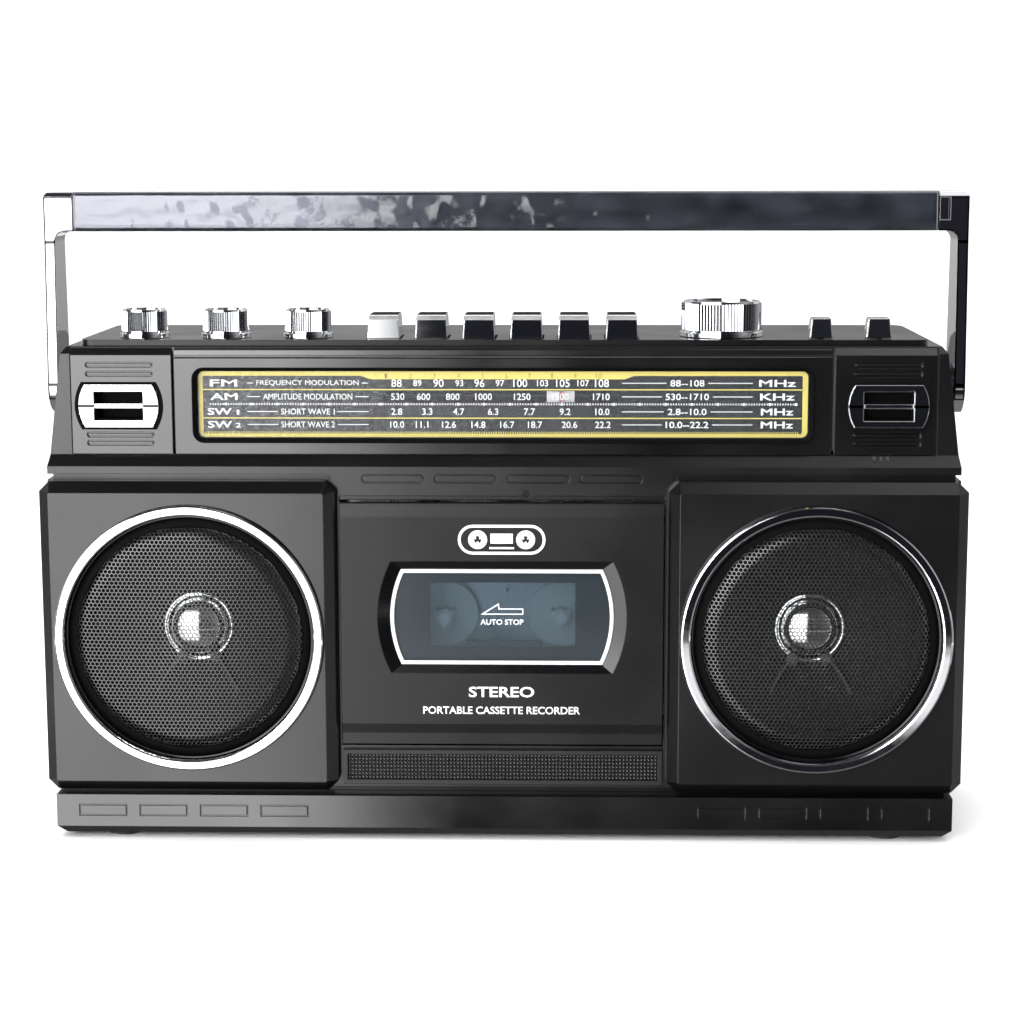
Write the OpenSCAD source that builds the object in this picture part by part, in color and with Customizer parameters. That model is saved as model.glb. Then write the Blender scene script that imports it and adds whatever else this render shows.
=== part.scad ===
// Portable radio cassette recorder with a carrying handle.
// Millimetres, +Z up. The front faces -Y.
// Origin: the middle of the footprint, on the surface that the four feet stand on.

/* [Cabinet] */
// Width of the main body behind the speaker panels
body_w = 328; // [322:1:332]
// Height of the main body's lower edge above the surface
body_z0 = 18.2; // [17.5:0.1:19]
// Height of the main body's upper edge, where the groove is
body_z1 = 132; // [131:0.5:132.5]
// Depth position of the main body's front face
face_y = -39.5; // [-40:0.5:-39]
// Depth position of the flat rear wall's outside
back_y = 47.5; // [47:0.5:49]
// Height of the cabinet's top under the control plate
top_z = 179.5; // [179:0.5:180]
// Depth position of the front of the tuner section
tuner_y = -35.5; // [-36:0.5:-35]
// Half the width of the tuner section at its top
tuner_top_hw = 157; // [156.8:0.1:158]
// Wall thickness of the mouldings
wall = 2.5; // [2.2:0.1:2.6]
// Depth position of the seam between the front and rear halves
split_y = 8.5; // [8.4:0.1:8.8]

/* [Speakers] */
// Sideways distance from the middle to each speaker's axis
spk_x = 112.6; // [112:0.1:113]
// Height of the speaker axis
spk_z = 75.4; // [75:0.1:76]
// Outer radius of the bright ring
ring_r = 48.6; // [48:0.1:49]
// Radius of the opening inside the ring
grille_r = 44.9; // [44.5:0.1:45]

/* [Cassette deck] */
// Half the width of the cassette door
door_hw = 58; // [57.5:0.1:58.2]
// Height of the door's lower edge
door_z0 = 35.6; // [35.5:0.1:36]
// Height of the door's upper edge
door_z1 = 124.1; // [123.5:0.1:124.2]
// Height of the line through both reel spindles
reel_z = 80.65; // [80:0.05:81]
// Distance between the two reel spindles of the standard cassette
reel_pitch = 42.5; // [42.5]
// Depth position of the deck plate's front
deck_y = -23; // [-23.2:0.1:-22.8]

/* [Controls] */
// Height of the control plate's upper surface
plate_z = 181.7; // [181.5:0.1:182]
// Half the width of the control plate
plate_hw = 152.6; // [151:0.1:153]
// Width of one piano key
key_w = 11.6; // [11:0.1:12]
// Distance from one piano key to the next
key_pitch = 17.2; // [17:0.1:17.4]
// Radius of the small control knobs
knob_r = 8.4; // [8:0.1:8.6]
// Radius of the tuning knob
tuning_r = 14.6; // [14:0.1:15]

/* [Handle] */
// Half the width over the handle's arms
handle_hw = 169.5; // [169.5:0.1:171]
// Height of the handle's top
handle_z = 234; // [230:0.5:238]
// Height of the handle's pivot
pivot_z = 162.5; // [162:0.1:163]
// Depth of the handle bar from front to back
grip_d = 16; // [14:0.5:17]

/* [Hidden] */

eps = 0.01;
// Smooth round work, and the coarser count used on small parts
fine = 96;
mid = 48;
small = 24;

body_hw = body_w / 2;
// The groove between the main body and the tuner section
groove_h = 2;
tuner_z0 = body_z1 + groove_h;
sill_z = tuner_z0 + 2.7;
sill_rise = 4;
tuner_face_z0 = sill_z + sill_rise;
side_taper_z = 177.1;
tuner_hw = tuner_top_hw + 1.9;
// The rabbet along the rear top edge that the antenna lies in
rabbet_y = 41.6;
rabbet_z = 170.8;
// The speaker panels stand in front of the main body
panel_y = -47.5;
panel_x0 = 59.7;
panel_x1 = 166.2;
panel_cut = 3.6;
// The cassette door and its hinge
door_y0 = -44.5;
door_y1 = -41.5;
door_hinge_y = -37.5;
door_hinge_z = 37;
door_pin_r = 1.5;
run_gap = 0.05;
window_z = 82.7;
// The tape path
reel_x = reel_pitch / 2;
capstan_x = -27;
capstan_z = 106.5;
capstan_r = 1;
motor_x = 34;
motor_z = 62;
pinch_pivot_x = -46;
pinch_pivot_z = 121;
roller_x = -27;
roller_z = 119.3;
deck_t = 1.4;
deck_screw_x = 62;
deck_screw_z = [46, 116];
// The dial
dial_hw = 110.3;
dial_z0 = 146.2;
dial_z1 = 171.8;
pointer_x = 21;
pointer_z = 161;
drum_x = 75;
drum_z = 146;
drum_r = 23.3;
cord_r = 0.4;
cord_y = -25.6;
block_x0 = 118.3;
block_x1 = 155.1;
// The keys turn on one shaft behind them
key_axis_y = 16;
key_axis_z = 171;
key_shaft_r = 1.5;
key_front_y = -27;
key_back_y = -9;
// The small knobs, the tuning knob and the slide switches
knob_xs = [-130.9, -101.1, -71.1];
knob_y = -20;
tuning_x = 79.6;
tuning_y = -12.5;
spindle_r = 3;
tuning_shaft_r = 4;
function_x = 114.6;
band_x = 135.3;
switch_y = -22.5;
// The handle
arm_t = 4;
arm_in = handle_hw - arm_t;
grip_z0 = handle_z - 14.3;
grip_hw = 158.5;
pivot_r = 3;
// The antenna
mast_x = -148;
mast_y = 45.3;
mast_z = 175;
// The battery compartment for four large round cells in a row
cell_x = 128;
cell_y0 = 10.5;
cell_z0 = 24;
cell_z1 = 60;
// Screws that join the two halves from behind: x and z
screw_spots = [[150, 28], [150, 122], [140, 158]];
screw_r = 1.4;
// The base tray and the feet
foot_h = 1.5;
base_z1 = 16.5;
base_hw = 163.2;
base_y = 45.5;

// ---- helpers -------------------------------------------------------------------------

// A box from its lowest corner to its highest corner
module span(lo, hi) {
    translate(lo) cube(hi - lo);
}

// Cylinders along each axis between two positions
module rod_x(r, x0, x1, y, z, n = mid) {
    translate([x0, y, z]) rotate([0, 90, 0]) cylinder(r = r, h = x1 - x0, $fn = n);
}

module rod_y(r, y0, y1, x, z, n = mid) {
    translate([x, y0, z]) rotate([-90, 0, 0]) cylinder(r = r, h = y1 - y0, $fn = n);
}

module rod_z(r, z0, z1, x, y, n = mid) {
    translate([x, y, z0]) cylinder(r = r, h = z1 - z0, $fn = n);
}

// An outline drawn in X and Z, pushed through from y0 to y1
module slab_y(y0, y1) {
    translate([0, y1, 0]) rotate([90, 0, 0]) linear_extrude(height = y1 - y0) children();
}

// An outline drawn in Y and Z, pushed through from x0 to x1
module slab_x(x0, x1) {
    translate([x0, 0, 0]) rotate([90, 0, 90]) linear_extrude(height = x1 - x0) children();
}

// A piece and its mirror image on the other side
module both_sides() {
    children();
    mirror([1, 0, 0]) children();
}

// A rectangle with round corners, about its own centre
module round_rect(w, h, r) {
    square([w - 2 * r, h], center = true);
    square([w, h - 2 * r], center = true);
    for (sx = [-1, 1], sz = [-1, 1])
        translate([sx * (w / 2 - r), sz * (h / 2 - r)]) circle(r = r, $fn = mid);
}

// A stadium: a bar with round ends
module stadium(w, h) {
    square([w - h, h], center = true);
    for (sx = [-1, 1]) translate([sx * (w - h) / 2, 0]) circle(d = h, $fn = mid);
}

// A circle cut off flat above and below
module cut_circle(r, h) {
    intersection() {
        circle(r = r, $fn = fine);
        square([2 * r + 1, h], center = true);
    }
}

// A rectangle with its corners cut at 45 degrees
function cut_rect(x0, z0, x1, z1, c) = [[x0 + c, z0], [x1 - c, z0], [x1, z0 + c], [x1, z1 - c],
    [x1 - c, z1], [x0 + c, z1], [x0, z1 - c], [x0, z0 + c]];

// The rim of a knurled knob: pointed ribs between an inner and an outer radius
function knurl(r, depth, ribs) = [for (i = [0:2 * ribs - 1]) let (a = i * 180 / ribs,
    q = i % 2 == 0 ? r : r - depth) [q * cos(a), q * sin(a)]];

// ---- cabinet -------------------------------------------------------------------------

// The body's outside when t is 0, and the cavity when t is the wall thickness
module body_form(t) {
    side_z = tuner_z0 - (t > 0 ? 6 : 0);
    span([-body_hw + t, face_y + t, body_z0 + t], [body_hw - t, back_y - t, body_z1 - t]);
    neck_y = face_y + 1.7;
    neck_hw = body_hw - 1.8;
    neck_reach = t > 0 ? 8 : 1;
    span([-neck_hw + t, neck_y + t, body_z1 - neck_reach], [neck_hw - t, back_y - 1 - t, tuner_z0 + neck_reach]);
    intersection() {
        slab_x(-body_hw, body_hw) polygon([[face_y + t, side_z], [back_y - t, side_z],
            [back_y - t, rabbet_z - t], [rabbet_y - t, rabbet_z - t], [rabbet_y - t, top_z - t],
            [tuner_y + wall + t, top_z - t], [tuner_y + t, top_z - wall - t],
            [tuner_y + t, tuner_face_z0 + t / 2], [face_y + t, sill_z + t / 2]]);
        slab_y(face_y - 1, back_y + 1) polygon([[-body_hw + t, side_z], [body_hw - t, side_z],
            [body_hw - t, sill_z], [tuner_hw - t, side_taper_z], [tuner_top_hw - t, top_z],
            [-tuner_top_hw + t, top_z], [-tuner_hw + t, side_taper_z], [-body_hw + t, sill_z]]);
    }
}

// The narrow foot of the body, which stands on the base tray
module body_foot() {
    foot_hw = 161;
    span([-foot_hw, face_y + 1.5, base_z1], [foot_hw, back_y - 4.5, body_z0 + 1]);
}

module front_cabinet() {
    deck_gap = 0.6;
    boss_r = 4;
    centre_hw = 61.5;
    pocket_y = tuner_y + 2.2;
    pivot_boss_r = 8;
    color([0.07, 0.07, 0.075]) difference() {
        union() {
            difference() {
                intersection() {
                    union() {
                        body_form(0);
                        body_foot();
                        span([-centre_hw, face_y, door_z1 - 4], [centre_hw, face_y + wall, sill_z]);
                    }
                    span([-200, -100, 0], [200, split_y, 300]);
                }
                body_form(wall);
            }
            // Columns for the long screws, and short ones for the deck
            both_sides() for (p = screw_spots) rod_y(boss_r, 0, split_y, p[0], p[1], small);
            both_sides() for (p = screw_spots)
                span([p[0] - 1, 0, p[1] - 1], [body_hw - wall, split_y, p[1] + 1]);
            both_sides() for (z = deck_screw_z) rod_y(3, face_y + 1, deck_y, deck_screw_x, z, small);
            // Ears that hold the door's hinge pins
            both_sides() span([door_hw + deck_gap, face_y + 1, 33.5], [door_hw + 4.6, -33, 41]);
            // Round bosses that the handle's arms turn against
            both_sides() rod_x(pivot_boss_r, 154, arm_in - 0.4, 0, pivot_z, fine);
        }
        both_sides() for (p = screw_spots) rod_y(screw_r, -1, split_y + 1, p[0], p[1], small);
        both_sides() for (z = deck_screw_z) rod_y(1.3, deck_y - 9, deck_y + 1, deck_screw_x, z, small);
        both_sides() rod_x(door_pin_r + run_gap, door_hw, door_hw + 3.2, door_hinge_y, door_hinge_z);
        both_sides() rod_x(pivot_r, 150, handle_hw, 0, pivot_z);
        // Speaker holes
        both_sides() rod_y(46.2, face_y - 1, face_y + wall + 1, spk_x, spk_z, fine);
        // The well that the cassette door closes
        span([-door_hw - deck_gap, face_y - 1, door_z0 - 1.6],
            [door_hw + deck_gap, face_y + wall + 2, door_z1 + deck_gap]);
        span([-door_hw - deck_gap, face_y - 1, door_z1], [door_hw + deck_gap, face_y + 0.6, door_z1 + 2.1]);
        // The tuner front: a shallow seat, and the dial's opening
        span([-block_x1 - 0.3, tuner_y - 1, tuner_face_z0 + 0.1], [block_x1 + 0.3, pocket_y, top_z + 1]);
        span([-dial_hw - 0.2, tuner_y, dial_z0 - 0.4], [dial_hw + 0.2, pocket_y + 4, dial_z1 + 0.4]);
        // Recess behind each chrome bezel
        both_sides() span([128.6, tuner_y, 153], [146.8, pocket_y + 4, 163.8]);
        // The well for the controls, under the plate
        span([-145, -29, top_z - wall - 1], [145, split_y + 1, top_z + 1]);
        // Four pill outlines above the door
        for (i = [-1.5:1:1.5]) translate([i * 26.1, 0, 132.4]) slab_y(face_y - 1, face_y + 0.5)
            difference() {
                stadium(22.6, 3.2);
                stadium(21.6, 2.2);
            }
        // Indicator hole and microphone slits
        rod_y(1.3, face_y - 1, face_y + wall + 2, 8.9, 126.9, small);
        for (i = [-1:1]) span([135.1 + 2.4 * i, tuner_y - 6, 138.4], [136.3 + 2.4 * i, -30, 140.2]);
    }
}

module rear_cabinet() {
    column_r = 5;
    head_y = 40;
    head_r = 3.4;
    cover_hw = 126;
    inlet_x = -140;
    inlet_z = 96;
    jack_x = 140;
    jack_zs = [90, 104];
    color([0.07, 0.07, 0.075]) difference() {
        union() {
            difference() {
                intersection() {
                    union() {
                        body_form(0);
                        body_foot();
                    }
                    span([-200, split_y, 0], [200, 100, 300]);
                }
                difference() {
                    body_form(wall);
                    span([-cell_x - 2, cell_y0 - 1.6, body_z0], [cell_x + 2, back_y, cell_z1 + 2]);
                }
            }
            both_sides() for (p = screw_spots) rod_y(column_r, split_y, back_y - 1, p[0], p[1], small);
            // Blocks around the mains inlet and the two jacks
            span([inlet_x - 12, 36, inlet_z - 7.5], [inlet_x + 12, back_y - 1, inlet_z + 7.5]);
            for (z = jack_zs) rod_y(5, 34, back_y - 1, jack_x, z, small);
            // Four studs so that the player can lie on its back
            both_sides() for (z = [72, 150]) rod_y(6, back_y - 1, 50, 118, z, mid);
        }
        both_sides() for (p = screw_spots) {
            rod_y(screw_r + 0.2, split_y - 1, back_y + 1, p[0], p[1], small);
            rod_y(head_r, head_y, back_y + 1, p[0], p[1], small);
        }
        // The battery compartment, its mouth and the seat of its cover
        span([-cell_x, cell_y0, cell_z0], [cell_x, back_y - wall + eps, cell_z1]);
        span([-cover_hw, back_y - wall - 1, cell_z0 + 1], [cover_hw, back_y + 1, cell_z1 - 1]);
        span([-cover_hw - 1.8, back_y - 1.2, cell_z0 - 0.8], [cover_hw + 1.8, back_y + 1, cell_z1 + 0.8]);
        // Figure-of-eight mains inlet
        translate([inlet_x, 0, inlet_z]) slab_y(39, back_y + 1) stadium(17, 9);
        for (z = jack_zs) rod_y(1.8, 33, back_y + 1, jack_x, z, small);
        // The well for the controls
        span([-145, split_y - 1, top_z - wall - 1], [145, 38.5, top_z + 1]);
        // Vents behind the board and the transformer
        for (x = [-100:8:100]) span([x - 1.5, back_y - wall - 1, 118], [x + 1.5, back_y + 1, 140]);
        // Turning space and socket for the antenna's fork
        rod_z(6, rabbet_z, top_z + 1, mast_x, mast_y);
        rod_z(1.5 + run_gap, rabbet_z - wall - 1, rabbet_z + 1, mast_x, mast_y, small);
    }
    // Pins of the mains inlet
    color([0.8, 0.7, 0.4]) for (s = [-1, 1])
        rod_y(1.2, 39 + eps, 45.5, inlet_x + s * 4.2, inlet_z, small);
}

module base_tray() {
    c = 3;
    z0 = foot_h;
    rect_w = 17.6;
    rect_h = 4.4;
    color([0.07, 0.07, 0.075]) difference() {
        intersection() {
            slab_y(-base_y, base_y) polygon([[-base_hw + c, z0], [base_hw - c, z0], [base_hw, z0 + c],
                [base_hw, base_z1], [-base_hw, base_z1], [-base_hw, z0 + c]]);
            slab_x(-base_hw, base_hw) polygon([[-base_y + c, z0], [base_y - c, z0], [base_y, z0 + c],
                [base_y, base_z1], [-base_y, base_z1], [-base_y, z0 + c]]);
        }
        span([-base_hw + wall, -base_y + wall, z0 + wall], [base_hw - wall, base_y - wall, base_z1 - 2]);
        span([-152, -32, base_z1 - 3], [152, 36, base_z1 + 1]);
        // Outlined rectangles along the front, four on each side
        both_sides() for (i = [0:3]) translate([-146.1 + 22.2 * i, 0, 10.6]) slab_y(-base_y - 1, -base_y + 0.5)
            difference() {
                square([rect_w, rect_h], center = true);
                square([rect_w - 1, rect_h - 1], center = true);
            }
    }
}

module top_plate() {
    y0 = -31.5;
    y1 = 41.2;
    slot_y0 = key_front_y - 2;
    slot_y1 = key_back_y + 1.4;
    ear_x = 53;
    color([0.08, 0.08, 0.085]) difference() {
        union() {
            translate([0, (y0 + y1) / 2, top_z]) linear_extrude(height = plate_z - top_z)
                round_rect(2 * plate_hw, y1 - y0, 5);
            // Two ears carry the key shaft
            both_sides() span([ear_x, key_axis_y - 4, key_axis_z - 3.5], [ear_x + 3, key_axis_y + 4, top_z + eps]);
        }
        both_sides() rod_x(key_shaft_r, ear_x - 1, ear_x + 4, key_axis_y, key_axis_z, small);
        for (i = [0:5]) {
            x = (i - 2.5) * key_pitch;
            span([x - key_w / 2 - 0.5, slot_y0, top_z - 1], [x + key_w / 2 + 0.5, slot_y1, plate_z + 1]);
        }
        for (x = knob_xs) rod_z(spindle_r + 0.4, top_z - 1, plate_z + 1, x, knob_y);
        rod_z(tuning_shaft_r + 0.4, top_z - 1, plate_z + 1, tuning_x, tuning_y);
        for (x = [function_x, band_x])
            span([x - 1.6, switch_y - 2.6, top_z - 1], [x + 1.6, switch_y + 16.5, plate_z + 1]);
    }
}

// ---- speakers ------------------------------------------------------------------------

module speaker_panels() {
    chamfer = 3.9;
    z0 = body_z0;
    z1 = body_z1;
    color([0.08, 0.08, 0.085]) both_sides() difference() {
        hull() {
            slab_y(panel_y + chamfer, face_y) polygon(cut_rect(panel_x0, z0, panel_x1, z1, panel_cut));
            slab_y(panel_y, panel_y + chamfer) polygon(cut_rect(panel_x0 + chamfer, z0 + chamfer,
                panel_x1 - chamfer, z1 - chamfer, 0.4));
        }
        rod_y(ring_r + 0.1, panel_y - 1, panel_y + 2, spk_x, spk_z, fine);
        rod_y(grille_r + 0.1, panel_y, face_y + 1, spk_x, spk_z, fine);
    }
}

// Bright ring: a flat face between two small rounded edges
module speaker_rings() {
    color([0.85, 0.86, 0.88]) both_sides() translate([spk_x, 0, spk_z]) rotate([90, 0, 0])
        rotate_extrude($fn = fine)
            polygon([[grille_r, 45.6], [ring_r, 45.6], [ring_r, 49.3], [ring_r - 0.25, 49.75],
                [ring_r - 0.7, 50], [grille_r + 0.7, 50], [grille_r + 0.2, 49.7], [grille_r, 49.2]]);
}

// The pressed grille: a flat rim, a steep shoulder and a shallow dome
module speaker_grilles() {
    t = 0.8;
    rim = [44.8, 46];
    shoulder = [40.2, 46];
    edge = [39, 48];
    dome = 49.4;
    color([0.05, 0.05, 0.05]) both_sides() translate([spk_x, 0, spk_z]) rotate([90, 0, 0])
        rotate_extrude($fn = fine) polygon([rim, [rim[0], rim[1] - 3.4], [rim[0] - 1, rim[1] - 3.4],
            [rim[0] - 1, rim[1] - t], [shoulder[0] - 0.4, shoulder[1] - t], [edge[0] - 0.4, edge[1] - t],
            [20, dome - 0.35 - t], [0, dome - t], [0, dome], [20, dome - 0.35], edge, shoulder]);
}

// Steel basket with windows, and the magnet behind it
module speaker_drivers() {
    flange_y = face_y + wall;
    y_rim = flange_y + 1.2;
    magnet_y = -16;
    color([0.55, 0.56, 0.58]) both_sides() difference() {
        union() {
            translate([spk_x, 0, spk_z]) slab_y(flange_y, y_rim) difference() {
                polygon(cut_rect(-47, -47, 47, 47, 12));
                circle(r = 43.6, $fn = fine);
            }
            translate([spk_x, 0, spk_z]) rotate([-90, 0, 0]) rotate_extrude($fn = fine)
                polygon([[43, flange_y], [45.5, flange_y], [45.5, y_rim], [24, magnet_y], [24, magnet_y + 2],
                    [14, magnet_y + 2], [14, magnet_y - 1], [22, magnet_y - 1], [43, y_rim]]);
            difference() {
                rod_y(22, magnet_y + 2 - eps, magnet_y + 18, spk_x, spk_z, fine);
                rod_y(15, magnet_y, magnet_y + 14, spk_x, spk_z, fine);
            }
            rod_y(9, magnet_y, magnet_y + 15, spk_x, spk_z);
        }
        // Windows in the basket
        for (a = [0:60:300]) translate([spk_x, 0, spk_z]) rotate([0, a, 0])
            span([27, y_rim + 2.5, -9], [42, magnet_y - 2, 9]);
        for (sx = [-1, 1], sz = [-1, 1])
            rod_y(1.5, flange_y - 1, y_rim + 1, spk_x + 40 * sx, spk_z + 40 * sz, small);
    }
}

// Paper cone with its rolled surround and its dust cap
module speaker_cones() {
    y_rim = -36.9;
    color([0.04, 0.04, 0.045]) both_sides() translate([spk_x, 0, spk_z]) rotate([90, 0, 0])
        rotate_extrude($fn = fine) polygon([[42.8, -y_rim], [41, -y_rim + 1.4], [39, -y_rim + 1.9],
            [37, -y_rim + 1.4], [35.4, -y_rim - 0.4], [11, 24], [8.5, 26.4], [5, 27.8], [0, 28.4],
            [0, 27.4], [5, 26.8], [8, 25.6], [10.4, 23], [10.4, 20], [11.2, 20], [11.4, 22.8],
            [35.8, -y_rim - 1.4], [37.6, -y_rim + 0.4], [39, -y_rim + 0.8], [40.6, -y_rim + 0.4],
            [42.2, -y_rim - 0.1], [42.8, -y_rim - 0.1]]);
}

// ---- tuner front ---------------------------------------------------------------------

// Outline in Y and Z of the plates on the tuner's front, bevelled at the top
module tuner_plate_side() {
    y0 = tuner_y - 0.4;
    y1 = tuner_y + 2.2;
    z1 = top_z - 0.4;
    polygon([[y0, tuner_face_z0 + 0.2], [y1, tuner_face_z0 + 0.2], [y1, z1], [y0, z1 - 2.6]]);
}

module dial_surround() {
    w = 2 * dial_hw + 0.2;
    h = dial_z1 - dial_z0 + 0.2;
    mid_z = (dial_z0 + dial_z1) / 2;
    color([0.08, 0.08, 0.085]) difference() {
        slab_x(-block_x0 + 0.5, block_x0 - 0.5) tuner_plate_side();
        translate([0, 0, mid_z]) slab_y(tuner_y - 1, tuner_y + 3) round_rect(w, h, 2.6);
    }
}

module dial_scale() {
    y0 = tuner_y + 2.3;
    y1 = tuner_y + 3.7;
    slot = [-43, 159.3, 42, 163.5];
    posts = [[-54, 165.4], [50, 163.4]];
    color([0.03, 0.03, 0.03]) difference() {
        union() {
            span([-dial_hw, y0, dial_z0], [dial_hw, y1, dial_z1]);
            // Rail that the pointer slides on, and posts for its cord
            span([-50, y1 - eps, 154.8], [46, y1 + 1.8, 156]);
            for (p = posts) rod_y(2.6, y1 - eps, cord_y + 1, p[0], p[1], small);
        }
        span([slot[0], y0 - 1, slot[1]], [slot[2], y1 + 1, slot[3]]);
    }
}

module dial_window() {
    mid_z = (dial_z0 + dial_z1) / 2;
    color([0.6, 0.65, 0.7, 0.3]) translate([0, 0, mid_z]) slab_y(tuner_y + 0.2, tuner_y + 1.3)
        round_rect(2 * dial_hw, dial_z1 - dial_z0, 2.5);
}

module dial_pointer() {
    y0 = tuner_y + 4.1;
    color([0.85, 0.85, 0.82]) {
        span([pointer_x - 5, y0, 156.4], [pointer_x + 5, y0 + 2, 166]);
        // Clip that holds the cord
        difference() {
            span([pointer_x - 2, y0 + 2 - eps, 158.6], [pointer_x + 2, cord_y + 1.4, 163.4]);
            span([pointer_x - 3, cord_y - 0.7, 160.3], [pointer_x + 3, cord_y + 2, 161.7]);
        }
        span([pointer_x - 0.6, tuner_y + 2.6, 159.7], [pointer_x + 0.6, y0 + eps, 163.1]);
    }
}

// Drum on the tuning capacitor's axle, with a groove for the cord
module dial_drum() {
    color([0.85, 0.85, 0.8]) {
        difference() {
            rod_y(drum_r + 1.2, cord_y - 2, cord_y + 2, drum_x, drum_z, fine);
            difference() {
                rod_y(drum_r + 2, cord_y - 0.7, cord_y + 0.7, drum_x, drum_z, fine);
                rod_y(drum_r, cord_y - 1, cord_y + 1, drum_x, drum_z, fine);
            }
            for (a = [0:60:300]) translate([drum_x, 0, drum_z]) rotate([0, a, 0])
                rod_y(4.2, cord_y - 3, cord_y + 3, 13.5, 0, small);
        }
        rod_y(spindle_r, cord_y + 1, -14, drum_x, drum_z);
    }
}

// Outline of one straight stretch of the cord between two points, x and z
module cord_run(a, b) {
    d = b - a;
    translate(a) rotate(atan2(d[1], d[0])) translate([0, -cord_r]) square([norm(d), 2 * cord_r]);
    translate(b) circle(r = cord_r, $fn = 16);
}

module dial_cord() {
    run = [[75, 169.7], [-54, 169.7], [-58.3, 165.4], [-54, 161], [46, 161], [50.5, 159.5], [51.3, 148]];
    color([0.8, 0.75, 0.6]) slab_y(cord_y - cord_r, cord_y + cord_r)
        for (i = [0:len(run) - 2]) cord_run(run[i], run[i + 1]);
}

module tuning_capacitor() {
    color([0.75, 0.78, 0.8]) difference() {
        union() {
            span([drum_x - 10, -22, drum_z - 10], [drum_x + 10, -10.5, drum_z + 10]);
            // Tongue that holds it to the board
            span([drum_x - 6, -11, drum_z - 18], [drum_x + 6, -9, drum_z + 4]);
        }
        rod_y(spindle_r + run_gap, -23, -13, drum_x, drum_z);
    }
}

// End blocks of the tuner front, each with two pairs of slots
module corner_blocks() {
    mid_x = (block_x0 + block_x1) / 2;
    slot_zs = [144.8, 147.8, 169.8, 173];
    color([0.08, 0.08, 0.085]) both_sides() difference() {
        slab_x(block_x0 + 0.5, block_x1) tuner_plate_side();
        for (z = slot_zs) translate([137.6, 0, z]) slab_y(tuner_y - 1, tuner_y + 0.6) difference() {
            stadium(24.4, 2);
            stadium(23.2, 0.8);
        }
        translate([138, 0, 158.3]) slab_y(tuner_y - 1, tuner_y + 3) square([17.8, 10.4], center = true);
    }
}

// Chrome bezels: a cut-off circle round a square mouth, with one bar across it
module corner_bezels() {
    y0 = tuner_y - 1.4;
    color([0.85, 0.86, 0.88]) both_sides() translate([138, 0, 158.3]) {
        slab_y(y0, tuner_y - 0.4) difference() {
            cut_circle(14.4, 15.4);
            square([17.8, 10.4], center = true);
        }
        slab_y(y0 + 0.3, tuner_y + 0.4) square([17.6, 1.6], center = true);
    }
}

// Strip under the door: a frame round the sunk ground of a field of small pyramids
module vent_strip() {
    w = 116.4;
    z0 = 19.9;
    z1 = 32.7;
    color([0.09, 0.09, 0.095]) difference() {
        span([-w / 2, face_y - 2, z0], [w / 2, face_y, z1]);
        span([-w / 2 + 1.6, face_y - 3, z0 + 1.6], [w / 2 - 1.6, face_y - 1.2, z1 - 1.6]);
    }
}

module microphone() {
    color([0.6, 0.6, 0.62]) rod_y(4.5, -32.5, -26.5, 135.7, 139.3, small);
}

// ---- cassette door and carrier -------------------------------------------------------

module door_panel() {
    band = 4.7;
    color([0.07, 0.07, 0.075]) difference() {
        slab_x(-door_hw, door_hw) polygon([[door_y1, door_z0], [door_y1, door_z1], [door_y0 + 0.7, door_z1],
            [door_y0, door_z1 - band], [door_y0, door_z0 + 7.8], [door_y0 + 0.9, door_z0 + 4.1],
            [door_y0 + 0.9, door_z0]]);
        translate([0, 0, window_z]) slab_y(door_y0 - 1, door_y0 + 1.2) cut_circle(44.8, 40.8);
        translate([0, 0, window_z]) slab_y(door_y0 - 1, door_y1 + 1) cut_circle(41, 36);
    }
}

module door_window() {
    color([0.25, 0.28, 0.3, 0.45]) translate([0, 0, window_z]) slab_y(door_y0 + 1.3, door_y1 + 0.1)
        cut_circle(40.8, 35.6);
}

// Two side channels and a shelf hold the cassette, and the pins carry the door
module cassette_carrier() {
    y0 = door_y1 + 0.1;
    y1 = -26.6;
    in_hw = 50.8;
    out_hw = 52.8;
    shelf_z = 51.3;
    rail_z = 114;
    color([0.1, 0.1, 0.1]) {
        span([-out_hw, y0, shelf_z - 1.8], [out_hw, y1, shelf_z]);
        span([-out_hw, y1 - 1, shelf_z - eps], [out_hw, y1, shelf_z + 4]);
        both_sides() {
            span([in_hw, y0, shelf_z - eps], [out_hw, y1, rail_z]);
            span([in_hw - 4, y1 - 1, shelf_z - eps], [in_hw + eps, y1, rail_z]);
            // Arm down to the hinge pin
            span([out_hw - 1.5, y0, door_z0], [door_hw - 1, -35.9, shelf_z - 1]);
            rod_x(door_pin_r, door_hw - 1 - eps, door_hw + 3, door_hinge_y, door_hinge_z);
        }
    }
}

// ---- tape drive ----------------------------------------------------------------------

module deck_chassis() {
    y1 = deck_y + deck_t;
    color([0.7, 0.71, 0.73]) {
        difference() {
            span([-65.5, deck_y, 42], [65.5, y1, 130.5]);
            rod_y(3, deck_y - 1, y1 + 1, capstan_x, capstan_z);
            both_sides() for (z = deck_screw_z) rod_y(1.5, deck_y - 1, y1 + 1, deck_screw_x, z, small);
            span([-14, deck_y - 1, 52], [14, y1 + 1, 70]);
            rod_y(10, deck_y - 1, y1 + 1, motor_x, motor_z);
        }
        // Fixed pins: reels, pinch arm, head plate guides
        both_sides() rod_y(1, -33.4, deck_y + eps, reel_x, reel_z, small);
        rod_y(1.5, -30, deck_y + eps, pinch_pivot_x, pinch_pivot_z, small);
        both_sides() rod_y(1.4, -27, deck_y + eps, 28, 127, small);
    }
}

module capstan_bush() {
    color([0.75, 0.6, 0.3]) difference() {
        rod_y(3, deck_y - 2, deck_y + deck_t + 1.4, capstan_x, capstan_z);
        rod_y(capstan_r + run_gap, deck_y - 3, deck_y + 4, capstan_x, capstan_z, small);
    }
}

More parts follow.
